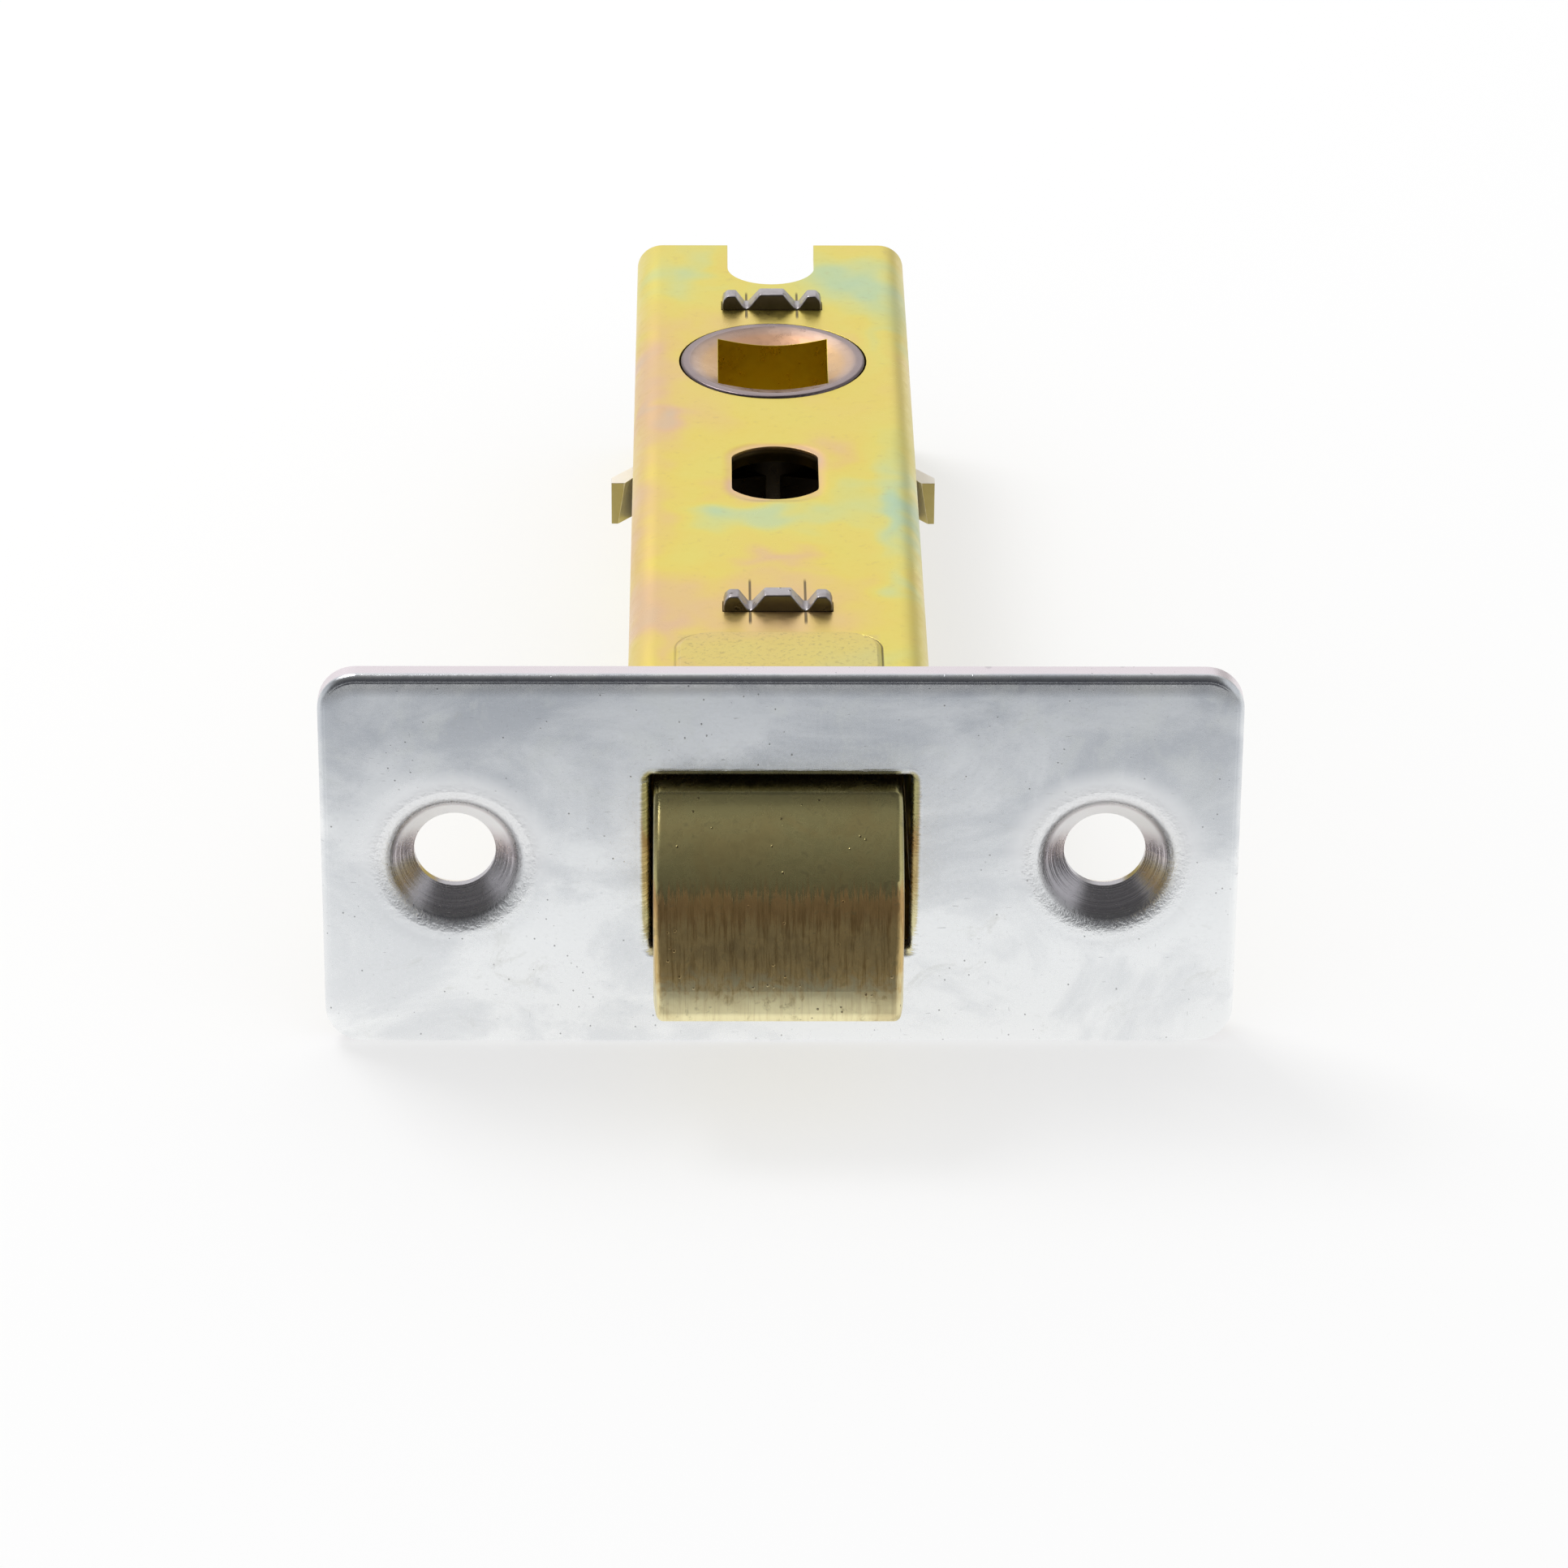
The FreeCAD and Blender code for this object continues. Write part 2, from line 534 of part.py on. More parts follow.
def bolt_side_view():
    """The head's outline from the side: flat underneath, round nose, curved lead-in, flat top."""
    centre = (NOSE_RADIUS - BOLT_PROJECTION, BOLT_BOTTOM + NOSE_CROWN)

    def on_nose(angle):
        return (centre[0] - NOSE_RADIUS * math.cos(angle), centre[1] + NOSE_RADIUS * math.sin(angle))

    lean, dip = math.radians(NOSE_LEAN), -math.asin(NOSE_CROWN / NOSE_RADIUS)
    start, end = (-BOLT_CURVE_START, BOLT_TOP), on_nose(lean)
    run, fall = start[0] - end[0], start[1] - end[1]
    chord = math.hypot(run, fall)
    # The lead-in leaves the nose without a corner.
    bulge = chord / 2 * math.tan((math.atan2(run, fall) - lean) / 2)
    crown = ((start[0] + end[0]) / 2 - bulge * fall / chord, (start[1] + end[1]) / 2 + bulge * run / chord)
    places = [start, crown, end, on_nose((lean + dip) / 2), on_nose(dip)]
    places += [(HEAD_REAR, BOLT_BOTTOM), (HEAD_REAR, BOLT_TOP)]
    left = -BOLT_WIDTH / 2
    corners = [point(left, distance, z) for distance, z in places]
    edges = [Part.Arc(*corners[:3]).toShape(), Part.Arc(*corners[2:5]).toShape()]
    for first, second in zip(corners[4:], corners[5:] + corners[:1]):
        edges.append(Part.makeLine(first, second))
    return Part.Wire(edges)


def bolt_plan_view():
    """A tall body on the head's outline from above, which narrows a little towards the nose."""
    half, bottom = BOLT_WIDTH / 2, -CASE_TOP
    ease, front = NOSE_EASE_LENGTH - BOLT_PROJECTION, -BOLT_PROJECTION - 1
    depth = NOSE_EASE_DEPTH * ((ease - front) / NOSE_EASE_LENGTH) ** 2

    def place(x, distance):
        return point(x, distance, bottom)

    def flank(side):
        return Part.Arc(place(side * half, ease), place(side * (half - depth / 4), (ease + front) / 2),
                        place(side * (half - depth), front)).toShape()

    edges = [
        Part.makeLine(place(half, HEAD_REAR), place(half, ease)),
        flank(1),
        Part.makeLine(place(half - depth, front), place(depth - half, front)),
        flank(-1),
        Part.makeLine(place(-half, ease), place(-half, HEAD_REAR)),
        Part.makeLine(place(-half, HEAD_REAR), place(half, HEAD_REAR)),
    ]
    return Part.Face(Part.Wire(edges)).extrude(FreeCAD.Vector(0, 0, 2 * CASE_TOP))


def make_bolt():
    """The latch bolt: a solid head with a spring pocket and two legs that straddle the front pillar."""
    head = Part.Face(bolt_side_view()).extrude(FreeCAD.Vector(BOLT_WIDTH, 0, 0))
    in_front = -BACKSET - BOLT_CURVE_START
    under_nose = parallel_edges(head, 0, lambda place: place.z < BOLT_BOTTOM + 1e-4 and place.y < in_front)
    head = head.makeFillet(NOSE_BLEND, under_nose)
    head = head.makeFillet(CURVE_BLEND, parallel_edges(head, 0, at_distance(-BOLT_CURVE_START)))
    head = head.common(bolt_plan_view())
    sides = [edge for face in head.Faces if abs(face.normalAt(0, 0).x) > 0.9 for edge in face.Edges]
    head = head.makeFillet(BOLT_SIDE_BLEND, sides)
    head = head.cut(lengthwise(POCKET_RADIUS, 0, (SPRING_FRONT, HEAD_REAR + 1)))
    leg_end = PIN_PLACE + LEG_END_MARGIN
    for side in (-1, 1):
        across = sorted((side * LEG_INNER, side * LEG_OUTER))
        leg = block(across, (HEAD_REAR, leg_end), (-LEG_HALF_HEIGHT, LEG_HALF_HEIGHT))
        leg = leg.makeFillet(LEG_ROUNDING, parallel_edges(leg, 0, at_distance(leg_end)))
        head = head.fuse(leg)
    bore = Part.makeCylinder(PIN_RADIUS, 2 * LEG_OUTER + 2, point(-LEG_OUTER - 1, PIN_PLACE, 0),
                             FreeCAD.Vector(1, 0, 0))
    return head.cut(bore).translated(FreeCAD.Vector(-BOLT_SIDE_PLAY, 0, 0))


def make_bolt_pin(side):
    """A cross pin from inside a leg into the yoke's slot."""
    inner_end = LEG_OUTER - PIN_LEG_DEPTH
    reach = YOKE_OUTER - YOKE_SIDE_PLAY - inner_end
    start = point(side * inner_end, PIN_PLACE, 0)
    pin = Part.makeCylinder(PIN_RADIUS, reach, start, FreeCAD.Vector(side, 0, 0))
    return pin.translated(FreeCAD.Vector(-BOLT_SIDE_PLAY, 0, 0))


def make_bolt_spring():
    """The compression spring between the bolt's pocket and the front pillar."""
    wire_radius = SPRING_WIRE / 2
    height = FRONT_PILLAR - SPRING_FRONT - SPRING_WIRE
    helix = Part.makeHelix(height / SPRING_TURNS, height, SPRING_RADIUS)
    section = Part.makeCircle(wire_radius, FreeCAD.Vector(SPRING_RADIUS, 0, 0), FreeCAD.Vector(0, 1, 0))
    spring = Part.Wire(helix.Edges).makePipeShell([Part.Wire(section)], True, True)
    spring.rotate(FreeCAD.Vector(), FreeCAD.Vector(1, 0, 0), -90)
    return spring.translated(point(0, SPRING_FRONT + wire_radius, 0))


def yoke_side(side):
    """One upright side: a tall ear with the pin's slot, then a low rail, then the lug bent inwards."""
    slope = YOKE_EAR_TOP - YOKE_RAIL_TOP
    ear_end = PIN_PLACE + PIN_RADIUS + BOLT_THROW + 2 * YOKE_SHEET
    outline = [
        (YOKE_EAR_FRONT, YOKE_BOTTOM),
        (YOKE_EAR_FRONT, YOKE_EAR_TOP),
        (ear_end, YOKE_EAR_TOP),
        (ear_end + slope / 2, YOKE_RAIL_TOP),
        (LUG_REAR, YOKE_RAIL_TOP),
        (LUG_REAR, YOKE_BOTTOM),
    ]
    inner = side * YOKE_INNER
    wall = polygon_prism([point(inner, distance, z) for distance, z in outline],
                         FreeCAD.Vector(side * YOKE_SHEET, 0, 0))
    front_top = parallel_edges(wall, 0, lambda place: at_distance(YOKE_EAR_FRONT)(place) and place.z > 0)
    wall = wall.makeFillet(YOKE_BEND_RADIUS, front_top)
    across = sorted((inner - side, inner + 2 * side * YOKE_SHEET))
    half = PIN_RADIUS + PIN_SLOT_PLAY
    slot = block(across, (PIN_PLACE, PIN_PLACE + BOLT_THROW), (-half, half))
    for end in (PIN_PLACE, PIN_PLACE + BOLT_THROW):
        slot = slot.fuse(Part.makeCylinder(half, across[1] - across[0], point(across[0], end, 0),
                                           FreeCAD.Vector(1, 0, 0)))
    wall = wall.cut(slot)
    lug_across = sorted((side * LUG_INNER, side * YOKE_OUTER))
    return wall.fuse(block(lug_across, (LUG_FRONT, LUG_REAR), (YOKE_RAIL_TOP, LUG_TOP)))


def make_yoke():
    """The folded slide: two sides and a floor that clears the through-bolt and the follower all the way."""
    floor = block((-YOKE_OUTER, YOKE_OUTER), (STRAP_FRONT, LUG_REAR), (YOKE_BOTTOM, YOKE_FLOOR))
    z_range = (YOKE_BOTTOM - 1, YOKE_FLOOR + 1)
    bolt_half = THROUGH_BOLT_WIDTH / 2 + YOKE_SLOT_PLAY
    follower_radius = JOURNAL_RADIUS + YOKE_SIDE_PLAY
    follower_front = BACKSET - BOLT_THROW - YOKE_SLOT_PLAY
    strap_end = STRAP_FRONT + YOKE_STRAP_LENGTH
    floor = floor.cut(block((-bolt_half, bolt_half), (strap_end, follower_front), z_range))
    floor = floor.cut(upright(follower_radius, follower_front, z_range))
    floor = floor.cut(block((-follower_radius, follower_radius), (follower_front, LUG_REAR + 1), z_range))
    yoke = floor.fuse(yoke_side(-1)).fuse(yoke_side(1)).removeSplitter()
    bends = parallel_edges(yoke, 1, lambda place: abs(abs(place.x) - YOKE_OUTER) < 1e-4
                           and abs(place.z - YOKE_BOTTOM) < 1e-4)
    return yoke.makeFillet(YOKE_BEND_RADIUS, bends)


def arm(side):
    """One arm at rest: its rear flank is radial and pushes the lug, and its tip follows a circle."""
    spread = ARM_WIDTH / ARM_REACH
    blend = ARM_TIP_BLEND / ARM_REACH

    def place(radius, angle):
        turned_angle = -HALF_TURN - angle
        return FreeCAD.Vector(side * radius * math.cos(turned_angle), radius * math.sin(turned_angle),
                              -ARM_HALF_HEIGHT)

    root = JOURNAL_RADIUS / 2
    flank_end = place(ARM_REACH - ARM_TIP_BLEND, 0)
    tip_start = place(ARM_REACH, blend)
    tip_end = place(ARM_REACH, spread)
    edges = [
        Part.makeLine(place(root, 0), flank_end),
        Part.makeLine(flank_end, tip_start),
        Part.Arc(tip_start, place(ARM_REACH, (blend + spread) / 2), tip_end).toShape(),
        Part.makeLine(tip_end, place(JOURNAL_RADIUS, 2 * spread)),
        Part.makeLine(place(JOURNAL_RADIUS, 2 * spread), place(root, 2 * spread)),
        Part.makeLine(place(root, 2 * spread), place(root, 0)),
    ]
    return Part.Face(Part.Wire(edges)).extrude(FreeCAD.Vector(0, 0, 2 * ARM_HALF_HEIGHT))


def make_follower():
    """The follower: two journals, two flanges, two arms, dished ends and the square hole."""
    end = CASE_TOP + JOURNAL_PROUD
    bottom_flange = YOKE_FLOOR + FLANGE_PLAY
    top_flange = CASE_INSIDE_TOP - FLANGE_PLAY
    body = upright(JOURNAL_RADIUS, BACKSET, (-end, end))
    rims = edges_where(body, lambda place: abs(abs(place.z) - end) < 1e-4)
    body = body.makeFillet(FOLLOWER_EDGE_BLEND, rims)
    body = body.fuse(upright(FLANGE_RADIUS, BACKSET, (top_flange - FLANGE_THICKNESS, top_flange)))
    body = body.fuse(upright(FLANGE_RADIUS, BACKSET, (bottom_flange, bottom_flange + FLANGE_THICKNESS)))
    for side in (-1, 1):
        body = body.fuse(arm(side))
    dish_depth = DISH_RADIUS * math.tan(math.radians(DISH_ANGLE))
    for direction in (-1, 1):
        mouth = FreeCAD.Vector(0, 0, direction * end)
        dish = Part.makeCone(DISH_RADIUS, 0, dish_depth, mouth, FreeCAD.Vector(0, 0, -direction))
        body = body.cut(dish)
    half = SPINDLE_SQUARE / 2
    along = (BACKSET - half, BACKSET + half)
    return body.cut(block((-half, half), along, (-end - 1, end + 1)))


def main():
    """Builds every piece and writes it."""
    os.makedirs("parts", exist_ok=True)
    save("faceplate", make_faceplate())
    save("inner_forend", make_inner_forend())
    save("case_shell", make_case_shell())
    save("base_plate", make_base_plate())
    save("front_pillar", make_front_pillar())
    save("rear_pillar", make_pillar(REAR_PILLAR))
    save("spring_guide_pin", make_spring_guide_pin())
    save("bolt", make_bolt())
    save("bolt_pin_left", make_bolt_pin(-1))
    save("bolt_pin_right", make_bolt_pin(1))
    save("bolt_spring", make_bolt_spring())
    save("yoke", make_yoke())
    save("follower", make_follower())


main()
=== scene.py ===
"""Looks of a sprung tubular door latch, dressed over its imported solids.

Everything is in metres in the solids' frame: the origin lies on the spindle's axis at the middle of the
case, X runs along the forend, +Y points into the door and +Z along the spindle.
"""
import logging
import math
from dataclasses import dataclass, field
from enum import Enum
from typing import Callable, Sequence

import bmesh
import bpy
from mathutils import Matrix, Vector, noise


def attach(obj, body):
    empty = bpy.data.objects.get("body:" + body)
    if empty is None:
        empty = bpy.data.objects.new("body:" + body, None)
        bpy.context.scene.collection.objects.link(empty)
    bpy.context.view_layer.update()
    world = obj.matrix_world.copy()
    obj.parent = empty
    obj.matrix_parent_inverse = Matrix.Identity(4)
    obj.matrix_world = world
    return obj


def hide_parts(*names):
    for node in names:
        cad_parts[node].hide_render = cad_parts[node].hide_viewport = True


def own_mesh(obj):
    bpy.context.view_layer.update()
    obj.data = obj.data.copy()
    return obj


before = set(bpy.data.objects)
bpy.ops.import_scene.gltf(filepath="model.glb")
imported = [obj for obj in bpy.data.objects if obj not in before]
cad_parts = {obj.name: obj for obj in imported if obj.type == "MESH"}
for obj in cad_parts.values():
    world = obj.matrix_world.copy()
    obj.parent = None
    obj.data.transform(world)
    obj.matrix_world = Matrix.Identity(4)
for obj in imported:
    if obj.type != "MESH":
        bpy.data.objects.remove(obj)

LOG = logging.getLogger("latch")
MM = 0.001
Colour = tuple[float, float, float]
Stops = Sequence[tuple[float, Colour]]
Socket = bpy.types.NodeSocket


class Body(Enum):
    """The moving groups of the latch."""

    FRAME = "frame"
    BOLT = "bolt"
    YOKE = "yoke"
    FOLLOWER = "follower"


class Slot(Enum):
    """The record's material slots."""

    NICKEL = "bright_nickel"
    YELLOW_ZINC = "yellow_zinc"
    BRASS = "brass"
    GREY_STEEL = "grey_steel"
    ROSE_ZINC = "follower_zinc"
    SPRING = "spring_steel"


class Blend(Enum):
    """How two colours are laid over each other."""

    MIX = "MIX"
    MULTIPLY = "MULTIPLY"
    OVERLAY = "OVERLAY"
    SOFT_LIGHT = "SOFT_LIGHT"


def millimetres(*values: float) -> Vector:
    """A vector in metres from millimetres."""
    return Vector(values) * MM


class Graph:
    """A node tree under construction, with the few nodes that the finishes share."""

    def __init__(self, tree: bpy.types.NodeTree) -> None:
        """Empties the tree and keeps it."""
        self.tree = tree
        tree.nodes.clear()

    def node(self, kind: str, inputs: dict | None = None, **settings: object) -> bpy.types.Node:
        """Adds a node.

        Args:
            kind: the node's type name.
            inputs: values or sockets for its inputs, by name or number.
            settings: the node's own properties.

        Returns:
            The new node.
        """
        made = self.tree.nodes.new(kind)
        for name, value in settings.items():
            setattr(made, name, value)
        for name, value in (inputs or {}).items():
            if isinstance(value, bpy.types.NodeSocket):
                self.tree.links.new(value, made.inputs[name])
            else:
                made.inputs[name].default_value = value
        return made

    def place(self, scale: Sequence[float] = (1, 1, 1), turn: Sequence[float] = (0, 0, 0),
              shift: Sequence[float] = (0, 0, 0)) -> Socket:
        """Object coordinates, stretched, turned and shifted.

        Args:
            scale: repeats for each metre, along X, Y and Z.
            turn: rotation in radians about X, Y and Z.
            shift: offset in metres.

        Returns:
            The vector socket.
        """
        coordinates = self.node("ShaderNodeTexCoord").outputs["Object"]
        mapping = self.node("ShaderNodeMapping", {"Vector": coordinates, "Location": shift, "Rotation": turn,
                                                  "Scale": scale})
        return mapping.outputs["Vector"]

    def clouds(self, vector: Socket, detail: float = 3.0, roughness: float = 0.55, distortion: float = 0.0,
               scale: float = 1.0) -> Socket:
        """Noise between 0 and 1 along a vector."""
        made = self.node("ShaderNodeTexNoise", {"Vector": vector, "Scale": scale, "Detail": detail,
                                                "Roughness": roughness, "Distortion": distortion})
        return made.outputs["Fac"]

    def levels(self, value: Socket, low: float, high: float, to_low: float = 0.0, to_high: float = 1.0,
               smooth: bool = True) -> Socket:
        """Moves a range of a value to another range and holds it there."""
        made = self.node("ShaderNodeMapRange", {"Value": value, "From Min": low, "From Max": high,
                                                "To Min": to_low, "To Max": to_high},
                         interpolation_type="SMOOTHSTEP" if smooth else "LINEAR")
        return made.outputs["Result"]

    def sum(self, operation: str, first: Socket | float, second: Socket | float = 0.0) -> Socket:
        """One step of arithmetic on two values."""
        return self.node("ShaderNodeMath", {0: first, 1: second}, operation=operation).outputs["Value"]

    def ramp(self, value: Socket, stops: Stops) -> Socket:
        """A colour for each value.

        Args:
            value: the place on the ramp, 0 to 1.
            stops: pairs of place and colour, in order.

        Returns:
            The colour socket.
        """
        made = self.node("ShaderNodeValToRGB", {"Fac": value})
        elements = made.color_ramp.elements
        while len(elements) > 1:
            elements.remove(elements[-1])
        elements[0].position, elements[0].color = stops[0][0], (*stops[0][1], 1)
        for position, colour in stops[1:]:
            elements.new(position).color = (*colour, 1)
        return made.outputs["Color"]

    def lay(self, base: Socket | Colour, over: Socket | Colour, share: Socket | float,
            way: Blend = Blend.MIX) -> Socket:
        """Lays one colour over another.

        Args:
            base: the colour underneath.
            over: the colour on top.
            share: how much of the top colour shows.
            way: how the two combine.

        Returns:
            The colour socket.
        """
        made = self.node("ShaderNodeMix", data_type="RGBA", blend_type=way.value)
        for index, value in ((0, share), (6, base), (7, over)):
            if isinstance(value, bpy.types.NodeSocket):
                self.tree.links.new(value, made.inputs[index])
            else:
                made.inputs[index].default_value = value if index == 0 else (*value, 1)
        return made.outputs[2]

    def specks(self, vector: Socket, size: float) -> Socket:
        """Small round spots, 1 inside and 0 outside.

        Args:
            vector: the coordinates, in cells.
            size: a spot's radius, in cells.

        Returns:
            The value socket.
        """
        cells = self.node("ShaderNodeTexVoronoi", {"Vector": vector, "Scale": 1.0, "Randomness": 1.0})
        near = self.levels(cells.outputs["Distance"], size * 0.5, size, 1.0, 0.0)
        chosen = self.levels(self.clouds(vector, 1.0, scale=0.35), 0.5, 0.56)
        return self.sum("MULTIPLY", near, chosen)

    def bump(self, height: Socket, depth: float, normal: Socket | None = None, strength: float = 1.0) -> Socket:
        """Turns a height between 0 and 1 into a relief.

        Args:
            height: the height socket.
            depth: the relief's depth in metres.
            normal: a relief below this one.
            strength: how much of it shows.

        Returns:
            The normal socket.
        """
        inputs = {"Height": height, "Distance": depth, "Strength": strength}
        if normal is not None:
            inputs["Normal"] = normal
        return self.node("ShaderNodeBump", inputs).outputs["Normal"]

    def split(self, vector: Socket) -> tuple[Socket, Socket, Socket]:
        """The X, Y and Z of a vector."""
        parts = self.node("ShaderNodeSeparateXYZ", {0: vector}).outputs
        return parts["X"], parts["Y"], parts["Z"]

    def length(self, first: Socket, second: Socket) -> Socket:
        """The length of a vector with two parts."""
        squares = self.sum("ADD", self.sum("MULTIPLY", first, first), self.sum("MULTIPLY", second, second))
        return self.sum("SQRT", squares)

    def outline_distance(self, first: Socket, second: Socket, half_sizes: tuple[float, float],
                         corner: float) -> Socket:
        """Distance from the outline of a rounded rectangle about the origin, negative inside it.

        Args:
            first: the place along the first side.
            second: the place along the second side.
            half_sizes: half of each side.
            corner: radius of the corners.

        Returns:
            The value socket, in metres.
        """
        beyond = [self.sum("SUBTRACT", self.sum("ABSOLUTE", value), half - corner)
                  for value, half in zip((first, second), half_sizes)]
        outside = self.length(*[self.sum("MAXIMUM", value, 0.0) for value in beyond])
        inside = self.sum("MINIMUM", self.sum("MAXIMUM", *beyond), 0.0)
        return self.sum("SUBTRACT", self.sum("ADD", outside, inside), corner)

    def facing(self) -> tuple[Socket, Socket, Socket]:
        """The X, Y and Z of the surface's own direction."""
        return self.split(self.node("ShaderNodeTexCoord").outputs["Normal"])

    def metal(self, colour: Socket, roughness: Socket, normal: Socket, metallic: Socket | float = 1.0) -> None:
        """Ends the tree in a metal."""
        shader = self.node("ShaderNodeBsdfPrincipled", {"Base Color": colour, "Metallic": metallic,
                                                        "Roughness": roughness, "Normal": normal})
        self.node("ShaderNodeOutputMaterial", {"Surface": shader.outputs["BSDF"]})


class Finish:
    """A metal's finish, made once and shared by the pieces that have it."""

    name = "finish"

    def paint(self, graph: Graph) -> None:
        """Builds the finish's nodes."""
        raise NotImplementedError

    def material(self) -> bpy.types.Material:
        """The finish as a material, made on first use."""
        found = bpy.data.materials.get(self.name)
        if found is None:
            found = bpy.data.materials.new(self.name)
            found.use_nodes = True
            self.paint(Graph(found.node_tree))
        return found


@dataclass(frozen=True)
class CloudedNickel(Finish):
    """Bright nickel plate: cloudy, finely pitted, drawn over at its edges and grained round its screw dimples."""

    name: str = "clouded_nickel"
    clear: Colour = (0.94, 0.95, 0.95)
    cloud_and_shade_grey: Colour = (0.46, 0.49, 0.54)
    stain: Colour = (0.50, 0.49, 0.42)
    edge_white: Colour = (0.80, 0.73, 0.76)
    bolt_reflection_tint: Colour = (0.62, 0.62, 0.50)
    half_length: float = 28.5 * MM
    half_height: float = 12.85 * MM
    corner: float = 2.4 * MM
    edge_front: float = -59.55 * MM
    screw_place: float = 20.25 * MM
    window_half_width: float = 8.08 * MM
    window_half_height: float = 6.05 * MM
    window_middle: float = -0.15 * MM

    def drawn_over(self, graph: Graph) -> Socket:
        """Height of the face, 1 in its middle and falling towards its outline, where the press drew it over."""
        across, _, height = graph.split(graph.place())
        distance = graph.outline_distance(across, height, (self.half_length, self.half_height), self.corner)
        near = graph.levels(distance, -1.45 * MM, -0.40 * MM, smooth=False)
        return graph.sum("SUBTRACT", 1.0, graph.sum("POWER", near, 2.0))

    def window_edge(self, graph: Graph) -> tuple[Socket, Socket]:
        """How near a place is to the window, and how near to the window's left side."""
        across, _, height = graph.split(graph.place(shift=(0, 0, -self.window_middle)))
        distance = graph.outline_distance(across, height, (self.window_half_width, self.window_half_height),
                                          0.2 * MM)
        near = graph.levels(distance, 0.25 * MM, 0.80 * MM, 1.0, 0.0)
        left = graph.sum("MULTIPLY", near, graph.levels(across, -7.9 * MM, -7.7 * MM, 1.0, 0.0))
        return near, graph.sum("MULTIPLY", left, graph.levels(height, -6.2 * MM, -4.8 * MM))

    def screw_radius(self, graph: Graph) -> Socket:
        """Distance to the nearest screw's axis."""
        across, _, height = graph.split(graph.place())
        return graph.length(graph.sum("SUBTRACT", graph.sum("ABSOLUTE", across), self.screw_place), height)

    def weathered_and_shaded(self, graph: Graph, patches: Socket, grains: Socket) -> Socket:
        """The face's colour: random mist with painted shade darkening its top, stains, faint streaks and grey grains.
        """
        _, along, height = graph.split(graph.place())
        # painted shade: the face grows darker towards its top, added to the random mist
        painted_top_shade = graph.levels(height, -0.004, 0.0125, 0.0, 0.52, smooth=False)
        mist_and_top_shade = graph.sum("ADD", graph.levels(patches, 0.38, 0.62, -0.16, 0.24), painted_top_shade)
        colour = graph.lay(self.clear, self.cloud_and_shade_grey, mist_and_top_shade)
        dapple = graph.clouds(graph.place((330, 330, 330)), 4.0, 0.65, 0.4)
        dapple = graph.sum("MULTIPLY", graph.levels(dapple, 0.50, 0.64), graph.levels(height, 0.001, 0.008))
        colour = graph.lay(colour, (0.80, 0.82, 0.80), graph.sum("MULTIPLY", dapple, 0.38))
        stains = graph.levels(graph.clouds(graph.place((190, 190, 260)), 5.0, 0.7, 1.2), 0.60, 0.78, 0.0, 0.30)
        colour = graph.lay(colour, self.stain, stains)
        streaks = graph.clouds(graph.place((2400, 700, 160)), 2.0, 0.5)
        colour = graph.lay(colour, (0.90, 0.91, 0.92), graph.levels(streaks, 0.55, 0.75, 0.0, 0.10))
        colour = graph.lay(colour, (0.40, 0.41, 0.42), graph.levels(grains, 0.60, 0.76, 0.0, 0.35))
        return graph.lay(colour, self.edge_white, graph.levels(along, self.edge_front, self.edge_front + 0.1 * MM))

    def paint(self, graph: Graph) -> None:
        """Builds the finish's nodes."""
        _, _, height = graph.split(graph.place())
        patches = graph.clouds(graph.place((85, 85, 120), shift=(0.3, 0, 0.1)), 5.0, 0.62, 0.5)
        grains = graph.clouds(graph.place((3400, 3400, 3400)), 4.0, 0.7)
        colour = self.weathered_and_shaded(graph, patches, grains)
        scratches = graph.levels(graph.clouds(graph.place((900, 900, 7000), (0.0, 0.5, 0.0)), 2.0, 0.5), 0.70, 0.76)
        crossing = graph.levels(graph.clouds(graph.place((7000, 900, 900), (0.0, 0.35, 0.0)), 2.0, 0.5), 0.71, 0.77)
        scratches = graph.sum("MAXIMUM", scratches, crossing)
        colour = graph.lay(colour, (0.30, 0.30, 0.31), graph.sum("MULTIPLY", scratches, 0.28))
        pricks = graph.specks(graph.place((1500, 1500, 1500)), 0.11)
        colour = graph.lay(colour, (0.12, 0.12, 0.12), graph.sum("MULTIPLY", pricks, 0.55))
        radius = self.screw_radius(graph)
        cone = graph.levels(radius, 3.9 * MM, 4.2 * MM, 1.0, 0.0)
        lit = graph.sum("MULTIPLY", graph.levels(radius, 3.5 * MM, 4.0 * MM, 1.0, 0.0),
                        graph.levels(height, 0.2 * MM, 2.2 * MM))
        shaded = graph.sum("MULTIPLY", cone, graph.levels(height, -0.9 * MM, 0.2 * MM, 1.0, 0.0))
        colour = graph.lay(colour, (0.40, 0.40, 0.42), graph.sum("MULTIPLY", shaded, 0.75))
        colour = graph.lay(colour, (0.97, 0.97, 0.97), graph.sum("MULTIPLY", lit, 0.95))
        # painted highlight: a white glow round the upper half of each screw dimple
        halo_highlight = graph.sum("MULTIPLY", graph.levels(radius, 4.1 * MM, 4.5 * MM),
                         graph.levels(radius, 4.6 * MM, 7.0 * MM, 1.0, 0.0))
        halo_highlight = graph.sum("MULTIPLY", halo_highlight, graph.levels(height, -3.0 * MM, 2.0 * MM, 0.15, 1.0))
        colour = graph.lay(colour, (0.98, 0.98, 0.98), halo_highlight)
        near_window, left_edge = self.window_edge(graph)
        shears = graph.clouds(graph.place((500, 500, 5200)), 2.0, 0.6)
